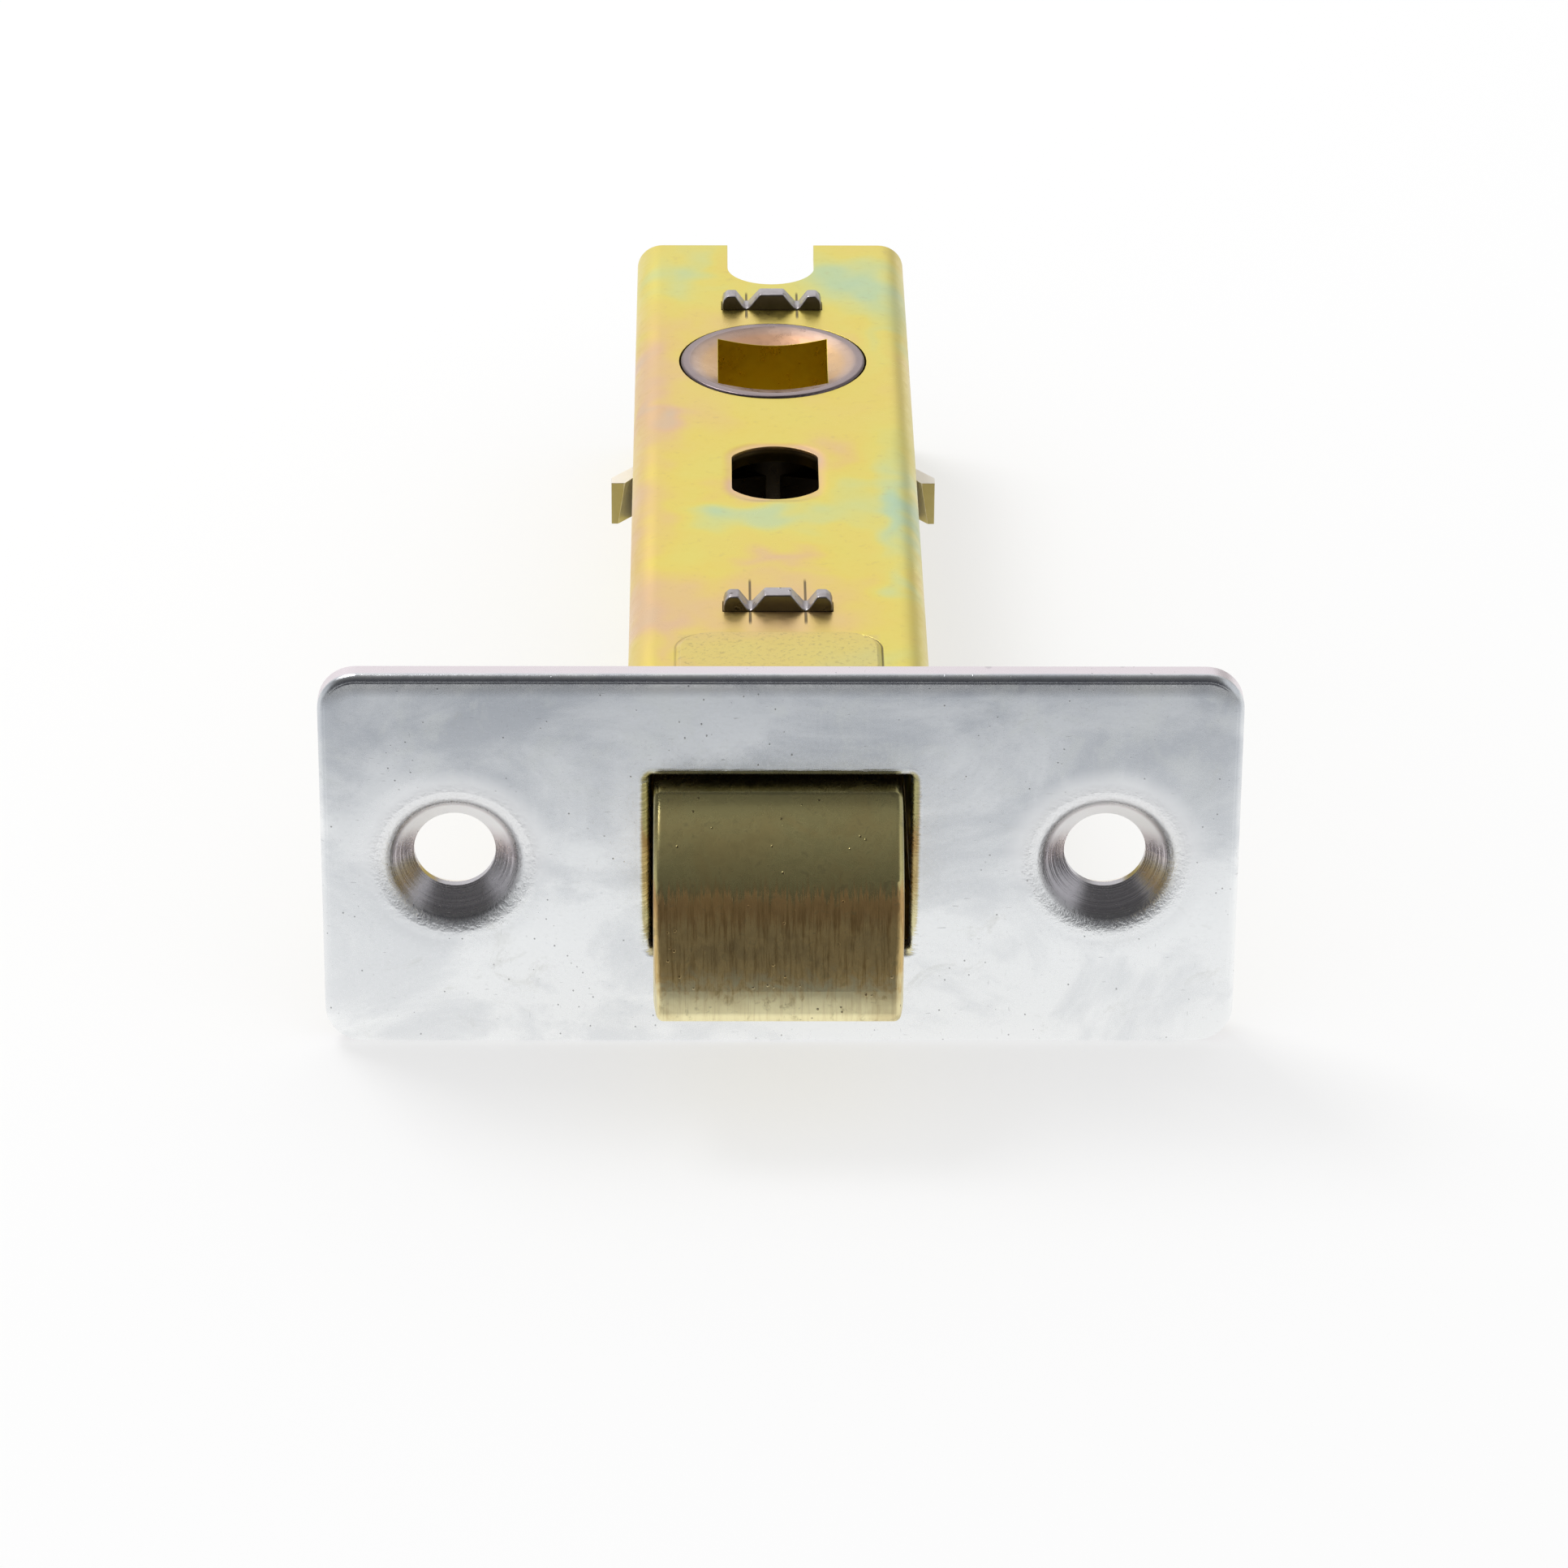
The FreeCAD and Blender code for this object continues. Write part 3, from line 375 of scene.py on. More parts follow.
        # painted reflection of the brass bolt on the window's left edge, broken by the shear marks
        painted_bolt_reflection = graph.lay(self.bolt_reflection_tint, (0.94, 0.94, 0.82), graph.levels(shears, 0.46, 0.62))
        colour = graph.lay(colour, painted_bolt_reflection, graph.sum("MULTIPLY", left_edge, 0.9))
        # painted shade: thin grey arcs round the rim of each screw dimple
        shade_arcs = graph.levels(radius, 3.55 * MM, 3.95 * MM)
        shade_arcs = graph.sum("MULTIPLY", shade_arcs, graph.levels(radius, 4.05 * MM, 4.35 * MM, 1.0, 0.0))
        colour = graph.lay(colour, (0.36, 0.35, 0.36), graph.sum("MULTIPLY", shade_arcs, 0.7))
        rough = graph.sum("ADD", graph.levels(patches, 0.3, 0.7, 0.20, 0.27), graph.levels(grains, 0.3, 0.7, 0.0, 0.06))
        rough = graph.sum("ADD", rough, graph.sum("MULTIPLY", graph.sum("MAXIMUM", lit, halo_highlight), 0.10))
        spokes = graph.node("ShaderNodeCombineXYZ", {0: graph.sum("MULTIPLY", radius, 5200.0)}).outputs[0]
        rings = graph.clouds(spokes, 3.0, 0.6)
        rim = graph.sum("MULTIPLY", graph.levels(radius, 3.8 * MM, 4.3 * MM),
                        graph.levels(radius, 4.7 * MM, 5.6 * MM, 1.0, 0.0))
        normal = graph.bump(self.drawn_over(graph), 0.00013)
        normal = graph.bump(graph.levels(radius, 3.8 * MM, 6.6 * MM), 0.00014, normal)
        normal = graph.bump(graph.clouds(graph.place((230, 230, 300)), 2.0, 0.5), 0.00002, normal)
        normal = graph.bump(grains, 0.000006, normal)
        normal = graph.bump(graph.sum("MULTIPLY", grains, rim), 0.00007, normal)
        normal = graph.bump(graph.sum("MULTIPLY", rings, cone), 0.000035, normal)
        normal = graph.bump(graph.sum("MULTIPLY", shears, near_window), 0.00006, normal)
        normal = graph.bump(scratches, 0.000004, normal)
        metallic = graph.sum("SUBTRACT", 1.0, graph.sum("MULTIPLY", lit, 0.95))
        graph.metal(colour, rough, graph.bump(pricks, 0.00001, normal), metallic)


@dataclass(frozen=True)
class Drift:
    """A soft patch on the case's top where the film is thicker or thinner: its place, radii and strength."""

    across: float
    along: float
    half_width: float
    half_length: float
    strength: float


@dataclass(frozen=True)
class YellowPassivate(Finish):
    """Zinc plate under a yellow passivate film that drifts softly between pink, gold and green."""

    name: str = "yellow_passivate"
    spread: float = 60.0
    film: Stops = field(default=(
        (0.10, (0.68, 0.53, 0.38)),
        (0.24, (0.79, 0.53, 0.29)),
        (0.36, (0.82, 0.60, 0.20)),
        (0.48, (0.82, 0.66, 0.145)),
        (0.60, (0.80, 0.69, 0.155)),
        (0.72, (0.70, 0.70, 0.25)),
        (0.84, (0.56, 0.68, 0.38)),
        (0.95, (0.50, 0.66, 0.44)),
    ))
    drifts: Sequence[Drift] = (
        Drift(-0.6, -26.0, 5.0, 2.6, 0.30),
        Drift(8.2, -25.0, 1.8, 11.0, 0.30),
        Drift(5.8, -24.0, 2.6, 4.0, 0.14),
        Drift(7.8, 3.5, 1.9, 4.5, 0.28),
        Drift(7.8, -36.5, 1.6, 3.0, 0.16),
        Drift(-3.9, -21.8, 2.8, 2.4, -0.18),
        Drift(4.2, -16.5, 2.2, 3.6, -0.20),
        Drift(0.6, -31.8, 3.6, 1.5, -0.24),
        Drift(-7.8, -9.5, 1.8, 3.0, -0.22),
        Drift(-9.2, -26.0, 2.2, 30.0, -0.14),
        Drift(-1.5, -39.5, 9.0, 6.0, -0.30),
        Drift(-6.8, -46.0, 1.4, 6.0, -0.16),
        Drift(-6.8, 14.5, 3.2, 5.5, 0.20),
        Drift(7.2, 14.0, 4.0, 6.5, 0.28),
        Drift(-3.0, 17.0, 1.6, 4.0, -0.12),
        Drift(-8.0, 1.0, 2.6, 8.0, -0.18),
    )
    dark_mark_and_shadow: Colour = (0.10, 0.07, 0.03)
    top: float = 7.0 * MM
    chisel_place: float = 1.785 * MM
    panel_half_width: float = 6.574 * MM
    panel_end: float = -43.4 * MM
    slot_middle: float = -18.7 * MM
    barb_root: float = 9.66 * MM

    def drifted(self, graph: Graph) -> Socket:
        """Sum of the soft patches on the top."""
        waver = graph.node("ShaderNodeTexNoise", {"Vector": graph.place((90, 90, 90)), "Detail": 0.0})
        waver = graph.node("ShaderNodeVectorMath", {0: waver.outputs["Color"], 1: (0.5, 0.5, 0.5)},
                           operation="SUBTRACT").outputs["Vector"]
        waver = graph.node("ShaderNodeVectorMath", {0: waver, "Scale": 4.0 * MM}, operation="SCALE").outputs["Vector"]
        place = graph.node("ShaderNodeVectorMath", {0: graph.place(), 1: waver}, operation="ADD").outputs["Vector"]
        across, along, _ = graph.split(place)
        total: Socket | float = 0.0
        for drift in self.drifts:
            offset = graph.length(
                graph.sum("DIVIDE", graph.sum("SUBTRACT", across, drift.across * MM), drift.half_width * MM),
                graph.sum("DIVIDE", graph.sum("SUBTRACT", along, drift.along * MM), drift.half_length * MM))
            total = graph.sum("ADD", graph.levels(offset, 0.0, 1.45, drift.strength, 0.0), total)
        _, _, height = graph.split(graph.place())
        return graph.sum("MULTIPLY", total, graph.levels(height, 2.0 * MM, self.top))

    def marks_and_shadow_line(self, graph: Graph) -> Socket:
        """Thin dark lines: the chisel's ends beside both tabs, and a painted shadow line along the foot of the raised
        panel, darker on its right and towards its rear end.
        """
        across, along, height = graph.split(graph.place())
        on_top = graph.sum("GREATER_THAN", height, 7.6 * MM)
        beside = graph.sum("ABSOLUTE", graph.sum("SUBTRACT", graph.sum("ABSOLUTE", across), self.chisel_place))
        line = graph.levels(beside, 0.05 * MM, 0.10 * MM, 1.0, 0.0)
        spans = []
        for middle, half in ((-38.7 * MM, 3.6 * MM), (9.7 * MM, 2.6 * MM)):
            reach = graph.sum("ABSOLUTE", graph.sum("SUBTRACT", along, middle))
            spans.append(graph.levels(reach, half - 0.8 * MM, half, 0.85, 0.0))
        chisel = graph.sum("MULTIPLY", line, graph.sum("MAXIMUM", *spans))
        depth = 10.0 * MM
        shifted = graph.sum("SUBTRACT", along, self.panel_end - depth)
        distance = graph.outline_distance(across, shifted, (self.panel_half_width, depth), 2.2 * MM)
        # painted shadow: a thin dark line along the foot of the raised panel
        panel_shadow_line = graph.levels(graph.sum("ABSOLUTE", distance), 0.03 * MM, 0.10 * MM, 1.0, 0.0)
        panel_shadow_line = graph.sum("MULTIPLY", panel_shadow_line, graph.levels(across, -4.0 * MM, 5.0 * MM, 0.35, 0.8))
        panel_shadow_line = graph.sum("MULTIPLY", panel_shadow_line, graph.levels(along, -58.0 * MM, -44.0 * MM, 0.6, 1.0))
        return graph.sum("MULTIPLY", graph.sum("MAXIMUM", chisel, panel_shadow_line), on_top)

    def panel_share(self, graph: Graph) -> Socket:
        """1 on the raised panel's flat, 0 elsewhere."""
        across, along, height = graph.split(graph.place())
        inside = graph.levels(graph.sum("ABSOLUTE", across), self.panel_half_width - 0.4 * MM,
                              self.panel_half_width, 1.0, 0.0)
        inside = graph.sum("MULTIPLY", inside, graph.levels(along, self.panel_end - 0.4 * MM, self.panel_end, 1.0, 0.0))
        return graph.sum("MULTIPLY", inside, graph.levels(height, 7.5 * MM, 7.8 * MM))

    def slot_distance(self, graph: Graph) -> Socket:
        """Distance from the front slot's outline, negative inside it."""
        across, along, _ = graph.split(graph.place())
        along = graph.sum("SUBTRACT", along, self.slot_middle)
        return graph.outline_distance(across, along, (2.9 * MM, 4.25 * MM), 1.9 * MM)

    def slot_shade(self, graph: Graph) -> Socket:
        """1 on the inner walls of the front slot, where little light comes in."""
        _, _, height = graph.split(graph.place())
        inside = graph.levels(self.slot_distance(graph), 0.0, 0.15 * MM, 1.0, 0.0)
        return graph.sum("MULTIPLY", inside, graph.levels(height, 7.50 * MM, 7.68 * MM, 1.0, 0.0))

    def paint(self, graph: Graph) -> None:
        """Builds the finish's nodes."""
        across, _, height = graph.split(graph.place())
        drift = graph.clouds(graph.place((self.spread, self.spread, self.spread), shift=(0.31, 0.12, 0.0)), 2.0, 0.45,
                             0.8)
        small = graph.clouds(graph.place((150, 110, 150), (0, 0, 0.5)), 2.0, 0.50)
        film = graph.levels(drift, 0.28, 0.72, 0.36, 0.64, smooth=False)
        film = graph.sum("ADD", film, graph.levels(small, 0.3, 0.7, -0.07, 0.07, smooth=False))
        film = graph.sum("ADD", film, self.drifted(graph))
        rim = graph.levels(self.slot_distance(graph), 0.0, 0.9 * MM, 1.0, 0.0)
        rim = graph.sum("MULTIPLY", rim, graph.levels(height, 7.0 * MM, 7.6 * MM))
        colour = graph.ramp(graph.sum("SUBTRACT", film, graph.sum("MULTIPLY", rim, 0.22)), self.film)
        fine = graph.clouds(graph.place((1500, 1500, 1500)), 4.0, 0.65)
        colour = graph.lay(colour, (0.52, 0.40, 0.22), graph.levels(fine, 0.58, 0.76, 0.0, 0.22))
        speckle = graph.clouds(graph.place((2600, 2600, 2600)), 4.0, 0.75)
        panel = self.panel_share(graph)
        colour = graph.lay(colour, (0.66, 0.50, 0.25), graph.sum("MULTIPLY", panel, 0.35))
        speckle = graph.sum("MULTIPLY", graph.levels(speckle, 0.52, 0.66), panel)
        colour = graph.lay(colour, (0.34, 0.27, 0.13), graph.sum("MULTIPLY", speckle, 0.40))
        # painted shade: the case's right-hand bend is darkened olive
        right_bend_shade = graph.levels(across, 8.4 * MM, 9.5 * MM)
        colour = graph.lay(colour, (0.52, 0.44, 0.20), graph.sum("MULTIPLY", right_bend_shade, 0.35))
        # the chisel marks, and the painted shadow line at the panel's foot
        marks_and_shadow_line = self.marks_and_shadow_line(graph)
        colour = graph.lay(colour, self.dark_mark_and_shadow, marks_and_shadow_line)
        colour = graph.lay(colour, (0.03, 0.02, 0.01), graph.sum("MULTIPLY", self.slot_shade(graph), 0.95))
        outward = graph.sum("ABSOLUTE", across)
        barb = graph.levels(outward, self.barb_root, self.barb_root + 0.05 * MM)
        facing_across, _, facing_up = graph.facing()
        inward = graph.levels(graph.sum("MULTIPLY", facing_across, graph.sum("SIGN", across)), -0.3, -0.05, 1.0, 0.0)
        near_root = graph.levels(outward, self.barb_root + 0.50 * MM, self.barb_root + 0.70 * MM, 1.0, 0.0)
        # painted light: the barbs' upward, inward and near-root faces are painted pale and made less metallic
        pale = graph.sum("MAXIMUM", graph.levels(facing_up, 0.5, 0.8), graph.sum("MAXIMUM", inward, near_root))
        barb_colour_and_highlight = graph.lay((0.45, 0.38, 0.16), (0.95, 0.90, 0.84), pale)
        colour = graph.lay(colour, barb_colour_and_highlight, barb)
        metallic = graph.sum("SUBTRACT", 1.0, graph.sum("MULTIPLY", graph.sum("MULTIPLY", barb, pale), 0.8))
        rough = graph.sum("ADD", graph.levels(small, 0.3, 0.7, 0.26, 0.36), graph.levels(fine, 0.3, 0.7, 0, 0.08))
        normal = graph.bump(graph.clouds(graph.place((150, 120, 150)), 2.0, 0.5), 0.00004)
        normal = graph.bump(small, 0.00001, normal)
        drawn = graph.sum("SUBTRACT", 1.0, graph.sum("POWER", graph.sum("MAXIMUM", rim, 0.0), 2.0))
        normal = graph.bump(drawn, 0.00009, normal)
        normal = graph.bump(graph.sum("SUBTRACT", 1.0, marks_and_shadow_line), 0.00003, normal)
        graph.metal(colour, rough, graph.bump(fine, 0.000006, normal), metallic)


@dataclass(frozen=True)
class BrushedBrass(Finish):
    """Cast brass, brushed up its lower face, smoother above and dulled by handling, with a painted highlight on its
    nose.
    """

    name: str = "brushed_brass"
    bright: Colour = (1.0, 0.92, 0.56)
    dull: Colour = (0.44, 0.28, 0.10)
    olive: Colour = (0.62, 0.55, 0.25)
    brown: Colour = (0.86, 0.64, 0.28)
    change: float = 1.5 * MM

    def paint(self, graph: Graph) -> None:
        """Builds the finish's nodes."""
        _, _, height = graph.split(graph.place())
        strokes = graph.clouds(graph.place((5200, 330, 330)), 3.0, 0.70)
        patina = graph.clouds(graph.place((210, 210, 240)), 4.0, 0.6, 0.8)
        mottle = graph.clouds(graph.place((1500, 1300, 1300)), 4.0, 0.65, 0.5)
        ragged = graph.sum("ADD", height, graph.levels(strokes, 0.3, 0.7, -0.5 * MM, 0.5 * MM))
        lower = graph.levels(ragged, self.change - 0.25 * MM, self.change + 0.25 * MM, 1.0, 0.0)
        band = graph.levels(graph.sum("ABSOLUTE", graph.sum("SUBTRACT", ragged, 0.9 * MM)), 0.2 * MM, 1.4 * MM,
                            1.0, 0.0)
        speckled = graph.sum("ADD", height, graph.levels(mottle, 0.3, 0.7, -0.7 * MM, 0.7 * MM))
        # painted highlight: the nose is laid over with bright yellow
        nose_highlight = graph.levels(speckled, -4.1 * MM, -2.3 * MM, 1.0, 0.0)
        colour = graph.lay(self.olive, self.brown, lower)
        colour = graph.lay(colour, (0.55, 0.28, 0.10), graph.sum("MULTIPLY", band, 0.55))
        colour = graph.lay(colour, self.bright, graph.sum("MULTIPLY", nose_highlight, 0.9))
        worn = graph.levels(strokes, 0.46, 0.66, 0.0, 0.60)
        worn = graph.sum("MULTIPLY", worn, graph.sum("SUBTRACT", lower, graph.sum("MULTIPLY", nose_highlight, 0.7)))
        dulled = graph.sum("ADD", graph.levels(patina, 0.42, 0.72, 0.0, 0.35), worn)
        colour = graph.lay(colour, self.dull, dulled)
        colour = graph.lay(colour, (0.30, 0.26, 0.13), graph.levels(mottle, 0.54, 0.72, 0.0, 0.45))
        pits = graph.specks(graph.place((1500, 1500, 1500)), 0.16)
        colour = graph.lay(colour, (0.12, 0.07, 0.03), graph.sum("MULTIPLY", pits, 0.7))
        rough = graph.sum("ADD", graph.levels(patina, 0.3, 0.7, 0.19, 0.28), graph.levels(mottle, 0.3, 0.7, 0, 0.08))
        rough = graph.sum("ADD", rough, graph.sum("MULTIPLY", lower, 0.14))
        normal = graph.bump(graph.clouds(graph.place((240, 200, 200)), 2.0, 0.5), 0.00003)
        normal = graph.bump(graph.sum("MULTIPLY", strokes, lower), 0.000012, normal)
        normal = graph.bump(mottle, 0.00001, normal)
        graph.metal(colour, rough, graph.bump(pits, 0.00002, normal))


@dataclass(frozen=True)
class WorkedSteel(Finish):
    """Bare steel, darker where it was struck or drawn, with painted shade on its front faces."""

    name: str = "worked_steel"
    light: Colour = (0.48, 0.45, 0.46)
    dark: Colour = (0.25, 0.21, 0.21)
    front_face_shade: Colour = (0.13, 0.11, 0.06)
    grain: tuple[float, float, float] = (700, 700, 700)
    depth: float = 0.00003

    def paint(self, graph: Graph) -> None:
        """Builds the finish's nodes."""
        patches = graph.clouds(graph.place((380, 380, 380)), 4.0, 0.65, 0.8)
        grain = graph.clouds(graph.place(self.grain), 3.0, 0.6)
        share = graph.sum("ADD", graph.levels(patches, 0.42, 0.70, 0.0, 0.7), graph.levels(grain, 0.45, 0.7, 0.0, 0.3))
        colour = graph.lay(self.light, self.dark, share)
        _, facing_along, _ = graph.facing()
        # painted shade: faces turned to the front are darkened
        front = graph.levels(facing_along, -0.85, -0.45, 1.0, 0.0)
        colour = graph.lay(colour, self.front_face_shade, graph.sum("MULTIPLY", front, 0.85))
        pits = graph.specks(graph.place((1900, 1900, 1900)), 0.24)
        colour = graph.lay(colour, (0.07, 0.05, 0.04), graph.sum("MULTIPLY", pits, 0.6))
        roughness = graph.levels(grain, 0.3, 0.7, 0.26, 0.42)
        normal = graph.bump(grain, self.depth)
        graph.metal(colour, roughness, graph.bump(pits, 0.00002, normal))


@dataclass(frozen=True)
class RoseZinc(Finish):
    """Die-cast zinc with a rose passivate, gold at its sides and greyer round its rim and front."""

    name: str = "rose_zinc"
    rose: Colour = (0.72, 0.42, 0.26)
    gold: Colour = (0.72, 0.47, 0.25)
    lilac: Colour = (0.42, 0.31, 0.27)
    rim: Colour = (0.34, 0.27, 0.27)
    inner: Colour = (0.72, 0.56, 0.03)
    dish_radius: float = 5.754 * MM
    rim_radius: float = 6.15 * MM

    def paint(self, graph: Graph) -> None:
        """Builds the finish's nodes."""
        across, along, height = graph.split(graph.place())
        drift = graph.clouds(graph.place((210, 210, 120)), 3.0, 0.55, 0.6)
        colour = graph.lay(self.rose, self.gold, graph.levels(graph.sum("ABSOLUTE", across), 2.6 * MM, 4.2 * MM))
        nearer = graph.sum("ADD", along, graph.levels(drift, 0.3, 0.7, -0.5 * MM, 0.5 * MM))
        colour = graph.lay(colour, self.lilac, graph.levels(nearer, -3.6 * MM, -2.2 * MM, 0.85, 0.0))
        radius = graph.length(across, along)
        colour = graph.lay(colour, (0.56, 0.42, 0.36), graph.levels(radius, 4.6 * MM, 5.4 * MM, 0.0, 0.7))
        colour = graph.lay(colour, self.rim, graph.levels(radius, self.dish_radius - 0.45 * MM,
                                                          self.dish_radius + 0.25 * MM))
        # painted shade: nearly black just beyond the rim
        colour = graph.lay(colour, (0.10, 0.08, 0.09), graph.levels(radius, self.rim_radius,
                                                                    self.rim_radius + 0.22 * MM, 0.0, 0.85))
        square = graph.sum("MAXIMUM", graph.sum("ABSOLUTE", across), graph.sum("ABSOLUTE", along))
        colour = graph.lay(colour, self.inner, graph.levels(square, 3.80 * MM, 3.86 * MM, 1.0, 0.0))
        cast = graph.clouds(graph.place((1100, 1100, 1100)), 4.0, 0.65)
        flecks = graph.sum("MULTIPLY", graph.levels(cast, 0.58, 0.78, 0.0, 0.25),
                           graph.levels(square, 3.80 * MM, 3.86 * MM))
        colour = graph.lay(colour, (0.30, 0.22, 0.16), flecks)
        # painted shade deep inside the square hole
        hole_shade = graph.sum("MULTIPLY", graph.levels(graph.sum("ABSOLUTE", height), 6.6 * MM, 7.1 * MM, 1.0, 0.0),
                            graph.levels(square, 3.80 * MM, 3.86 * MM))
        colour = graph.lay(colour, (0.035, 0.028, 0.016), graph.sum("MULTIPLY", hole_shade, 0.92))
        rough = graph.levels(cast, 0.3, 0.7, 0.26, 0.38)
        normal = graph.bump(drift, 0.00003)
        graph.metal(colour, rough, graph.bump(cast, 0.000012, normal))


NICKEL = CloudedNickel()
PASSIVATE = YellowPassivate()
BRASS = BrushedBrass()
STEEL = WorkedSteel()
WIRE = WorkedSteel(name="drawn_wire", light=(0.60, 0.60, 0.61), dark=(0.30, 0.29, 0.28), front_face_shade=(0.50, 0.50, 0.50),
                   grain=(500, 500, 500), depth=0.00001)
ROSE = RoseZinc()


@dataclass
class Skin:
    """A smooth shell over one solid: its mesh welded, its sharp edges broken or its own round shading kept."""

    node: str
    body: Body
    slot: Slot
    finish: Finish
    edge_break: float = 0.08 * MM
    sharp_angle: float = math.radians(32)

    def solid(self) -> bpy.types.Mesh:
        """The solid's own mesh."""
        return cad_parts[self.node].data

    def welded(self) -> bpy.types.Mesh:
        """A copy of the solid's mesh with its corners welded, and its flat faces joined if edges are broken."""
        shape = bmesh.new()
        shape.from_mesh(self.solid())
        bmesh.ops.remove_doubles(shape, verts=shape.verts, dist=1e-6)
        if self.edge_break:
            bmesh.ops.dissolve_limit(shape, angle_limit=math.radians(0.4), verts=shape.verts, edges=shape.edges)
        data = bpy.data.meshes.new(f"{self.node}_skin")
        shape.to_mesh(data)
        shape.free()
        data.polygons.foreach_set("use_smooth", [True] * len(data.polygons))
        data.polygons.foreach_set("material_index", [0] * len(data.polygons))
        return data

    def keep_shading(self, data: bpy.types.Mesh) -> None:
        """Gives the welded mesh the solid's own normals, corner by corner.

        Args:
            data: the welded mesh, with its triangles in the solid's order.
        """
        source = self.solid()
        if len(source.loops) != len(data.loops):
            LOG.warning("%s: welding removed a triangle, so its shading is worked out anew", self.node)
            return
        data.normals_split_custom_set([corner.vector[:] for corner in source.corner_normals])

    def break_edges(self, piece: bpy.types.Object) -> None:
        """Takes the sharpness off the edges and shades the flats evenly.

        Args:
            piece: the shell's object.
        """
        bevel = piece.modifiers.new("broken_edges", "BEVEL")
        bevel.width = self.edge_break
        bevel.segments = 2
        bevel.limit_method = "ANGLE"
        bevel.angle_limit = self.sharp_angle
        bevel.miter_outer = "MITER_ARC"
        weights = piece.modifiers.new("even_shading", "WEIGHTED_NORMAL")
        weights.mode = "FACE_AREA_WITH_ANGLE"

    def build(self) -> bpy.types.Object:
        """Builds the shell in the solid's place.

        Returns:
            The finished object.
        """
        data = self.welded()
        data.materials.append(self.finish.material())
        piece = bpy.data.objects.new(f"{self.node}_skin", data)
        bpy.context.scene.collection.objects.link(piece)
        if self.edge_break:
            self.break_edges(piece)
        else:
            self.keep_shading(data)
        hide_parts(self.node)
        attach(piece, self.body.value)
        LOG.info("%s: %d faces before its modifiers", piece.name, len(data.polygons))
        return piece


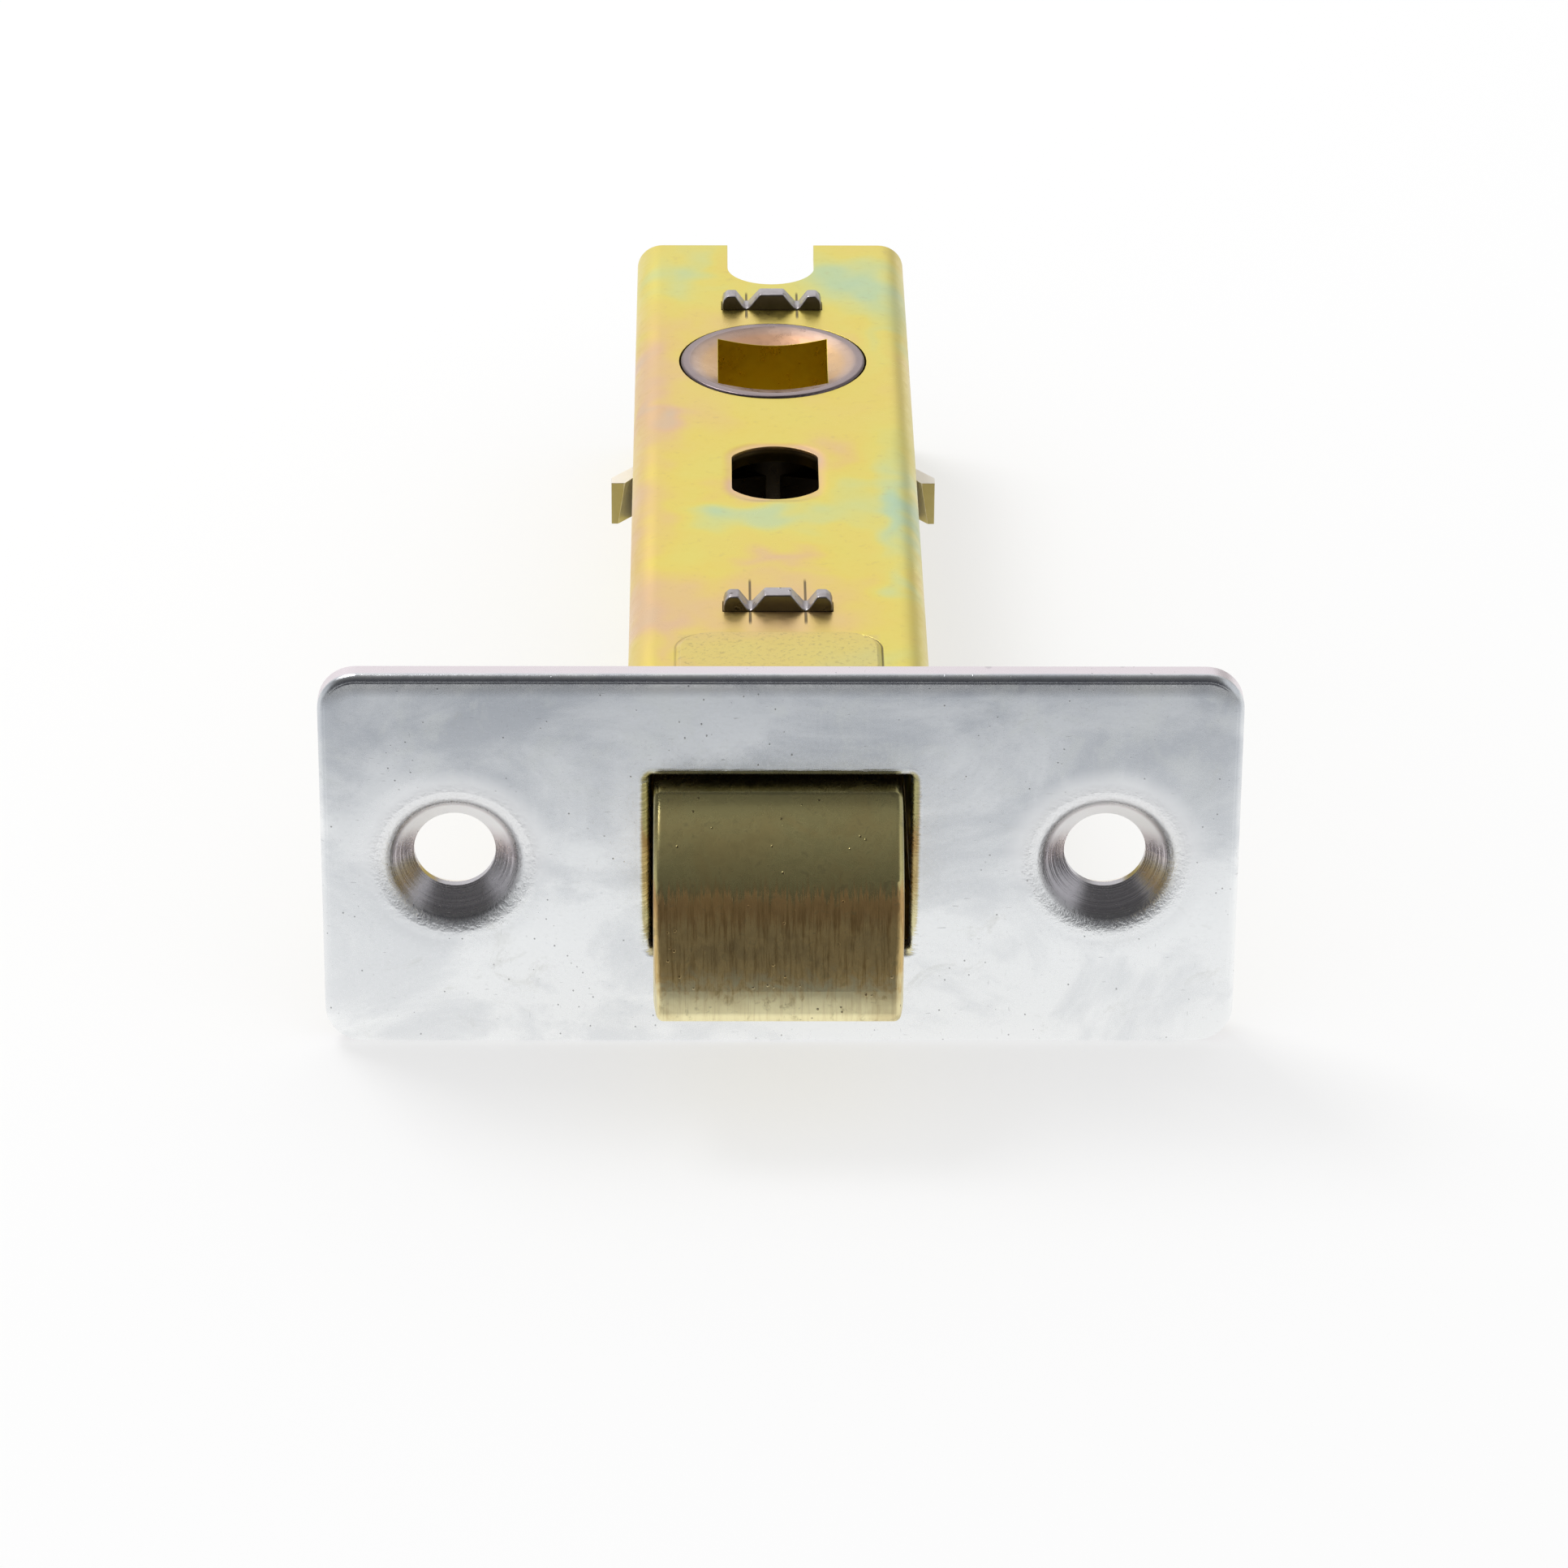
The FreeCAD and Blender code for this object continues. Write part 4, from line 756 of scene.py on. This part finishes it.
@dataclass
class Studio:
    """A pale floor under the latch, soft light and the photograph's camera."""

    plate_foot: Vector = field(default_factory=lambda: millimetres(0, -58.5, -12.85))
    tab_foot: Vector = field(default_factory=lambda: millimetres(0, 10.15, -8.85))
    floor_size: float = 2.4
    paper_bright: float = -0.060
    paper_dark: float = -0.300
    camera_place: Vector = field(default_factory=lambda: millimetres(-4.60744, -429.92718, 195.43145))
    camera_pitch: float = 0.47431
    camera_yaw: float = 0.01299
    camera_roll: float = -0.00661
    camera_lens: float = 154.733

    def camera(self) -> None:
        """Sets the camera where the photograph was taken from."""
        right = Vector((math.cos(self.camera_yaw), -math.sin(self.camera_yaw), 0))
        ahead = Vector((math.sin(self.camera_yaw), math.cos(self.camera_yaw), 0))
        down, level = math.sin(self.camera_pitch), math.cos(self.camera_pitch)
        forward = ahead * level - Vector((0, 0, down))
        up = ahead * down + Vector((0, 0, level))
        turn_cos, turn_sin = math.cos(self.camera_roll), math.sin(self.camera_roll)
        across = right * turn_cos - up * turn_sin
        upright = right * turn_sin + up * turn_cos
        data = bpy.data.cameras.new("photo_camera")
        data.sensor_width = 36.0
        data.lens = self.camera_lens
        data.clip_start, data.clip_end = 0.01, 20.0
        camera = bpy.data.objects.new("photo_camera", data)
        axes = Matrix((across, upright, -forward)).transposed().to_4x4()
        camera.matrix_world = Matrix.Translation(self.camera_place) @ axes
        bpy.context.scene.collection.objects.link(camera)
        bpy.context.scene.camera = camera

    def floor(self) -> None:
        """Lays the floor under the forend's lower edge and the rear pillar's lower tab."""
        run = (self.tab_foot - self.plate_foot).normalized()
        shape = bmesh.new()
        bmesh.ops.create_grid(shape, x_segments=4, y_segments=4, size=self.floor_size / 2)
        tilt = math.atan2(run.z, run.y)
        turn = Matrix.Rotation(tilt, 4, "X")
        bmesh.ops.transform(shape, matrix=Matrix.Translation(self.plate_foot) @ turn, verts=shape.verts)
        data = bpy.data.meshes.new("floor")
        shape.to_mesh(data)
        shape.free()
        floor = bpy.data.objects.new("floor", data)
        bpy.context.scene.collection.objects.link(floor)
        material = bpy.data.materials.new("pale_floor")
        material.use_nodes = True
        graph = Graph(material.node_tree)
        matt = graph.node("ShaderNodeBsdfPrincipled", {"Base Color": (0.90, 0.90, 0.90, 1), "Roughness": 0.9,
                                                       "Specular IOR Level": 0.0})
        path = graph.node("ShaderNodeLightPath")
        mirrored = graph.sum("MAXIMUM", path.outputs["Is Glossy Ray"], path.outputs["Is Transmission Ray"])
        _, along, _ = graph.split(graph.place())
        ahead = graph.levels(along, self.paper_dark, self.paper_bright, smooth=False)
        paper = graph.ramp(ahead, (
            (0.00, (0.22, 0.21, 0.20)),
            (0.58, (0.36, 0.37, 0.39)),
            (0.79, (0.58, 0.60, 0.63)),
            (0.93, (0.90, 0.91, 0.92)),
            (1.00, (0.97, 0.97, 0.97)),
        ))
        colour = graph.lay((1.0, 1.0, 1.0), paper, mirrored)
        glow = graph.node("ShaderNodeEmission", {"Color": colour, "Strength": 1.0})
        share = graph.sum("ADD", graph.sum("MULTIPLY", path.outputs["Is Camera Ray"], 0.6),
                          graph.sum("MULTIPLY", mirrored, 0.85))
        mixed = graph.node("ShaderNodeMixShader", {0: share, 1: matt.outputs[0], 2: glow.outputs[0]})
        graph.node("ShaderNodeOutputMaterial", {"Surface": mixed.outputs[0]})
        data.materials.append(material)

    def world(self) -> None:
        """Surrounds the scene with white paper, and with a darker room in front for the metals to mirror."""
        world = bpy.data.worlds.new("studio")
        bpy.context.scene.world = world
        world.use_nodes = True
        graph = Graph(world.node_tree)
        direction = graph.node("ShaderNodeTexCoord").outputs["Generated"]
        parts = graph.node("ShaderNodeSeparateXYZ", {0: direction})
        across, along, height = (parts.outputs[name] for name in ("X", "Y", "Z"))
        room = graph.ramp(graph.levels(along, -1.0, 1.0, smooth=False), (
            (0.05, (0.05, 0.05, 0.06)),
            (0.30, (0.13, 0.13, 0.13)),
            (0.50, (0.22, 0.22, 0.22)),
            (0.70, (0.30, 0.30, 0.30)),
            (0.86, (0.95, 0.95, 0.96)),
        ))
        room = graph.lay(room, (0.75, 0.76, 0.78), graph.levels(across, 0.50, 0.80))
        room = graph.lay(room, (0.70, 0.71, 0.73), graph.levels(across, -0.95, -0.75, 1.0, 0.0))
        corner = graph.sum("MULTIPLY", graph.levels(across, 0.20, 0.42), graph.levels(along, 0.55, 0.80))
        room = graph.lay(room, (0.45, 0.44, 0.42), graph.sum("MULTIPLY", corner, 0.8))
        below = graph.levels(height, -0.02, 0.02, 1.0, 0.0)
        room = graph.lay(room, (0.95, 0.95, 0.95), below)
        path = graph.node("ShaderNodeLightPath")
        mirrored = graph.sum("MAXIMUM", path.outputs["Is Glossy Ray"], path.outputs["Is Transmission Ray"])
        colour = graph.lay((0.80, 0.80, 0.80), room, mirrored)
        colour = graph.lay(colour, (1.0, 1.0, 1.0), path.outputs["Is Camera Ray"])
        background = graph.node("ShaderNodeBackground", {"Color": colour, "Strength": 1.0})
        graph.node("ShaderNodeOutputWorld", {"Surface": background.outputs[0]})

    def lamp(self, name: str, place: Vector, aim: Vector, size: float, power: float) -> None:
        """Hangs one soft lamp.

        Args:
            name: the lamp's name.
            place: its middle.
            aim: the point it faces.
            size: its side, in metres.
            power: its power in watts.
        """
        data = bpy.data.lights.new(name, "AREA")
        data.size = size
        data.energy = power
        lamp = bpy.data.objects.new(name, data)
        turn = (aim - place).to_track_quat("-Z", "Y").to_matrix().to_4x4()
        lamp.matrix_world = Matrix.Translation(place) @ turn
        bpy.context.scene.collection.objects.link(lamp)

    def build(self) -> None:
        """Builds the whole studio."""
        bpy.context.scene.view_settings.view_transform = "Standard"
        self.camera()
        self.floor()
        self.world()
        middle = millimetres(0, -25, 0)
        self.lamp("key", Vector((-0.35, 0.30, 0.75)), middle, 0.35, 3.0)
        LOG.info("studio built")


def compress_with_bolt(spring: bpy.types.Object) -> None:
    """Gives the spring's shell a mesh of its own.

    Args:
        spring: the spring's shell.
    """
    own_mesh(spring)


def main() -> None:
    """Dresses the latch and builds the studio."""
    logging.basicConfig(level=logging.INFO, format="%(name)s: %(message)s")
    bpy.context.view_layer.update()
    skins = (
        Skin("faceplate", Body.FRAME, Slot.NICKEL, NICKEL, edge_break=0.0),
        Skin("inner_forend", Body.FRAME, Slot.YELLOW_ZINC, PASSIVATE),
        Skin("case_shell", Body.FRAME, Slot.YELLOW_ZINC, PASSIVATE),
        Skin("base_plate", Body.FRAME, Slot.YELLOW_ZINC, PASSIVATE),
        Skin("front_pillar", Body.FRAME, Slot.GREY_STEEL, STEEL, edge_break=0.16 * MM),
        Skin("rear_pillar", Body.FRAME, Slot.GREY_STEEL, STEEL, edge_break=0.16 * MM),
        Skin("spring_guide_pin", Body.FRAME, Slot.GREY_STEEL, STEEL, edge_break=0.0),
        Skin("bolt_spring", Body.FRAME, Slot.SPRING, WIRE, edge_break=0.0),
        Skin("bolt", Body.BOLT, Slot.BRASS, BRASS, edge_break=0.0),
        Skin("bolt_pin_left", Body.BOLT, Slot.GREY_STEEL, STEEL),
        Skin("bolt_pin_right", Body.BOLT, Slot.GREY_STEEL, STEEL),
        Skin("yoke", Body.YOKE, Slot.YELLOW_ZINC, PASSIVATE),
        Skin("follower", Body.FOLLOWER, Slot.ROSE_ZINC, ROSE, edge_break=0.0),
    )
    pieces = {skin.node: skin.build() for skin in skins}
    compress_with_bolt(pieces["bolt_spring"])
    Studio().build()


if __name__ == "__main__":
    main()
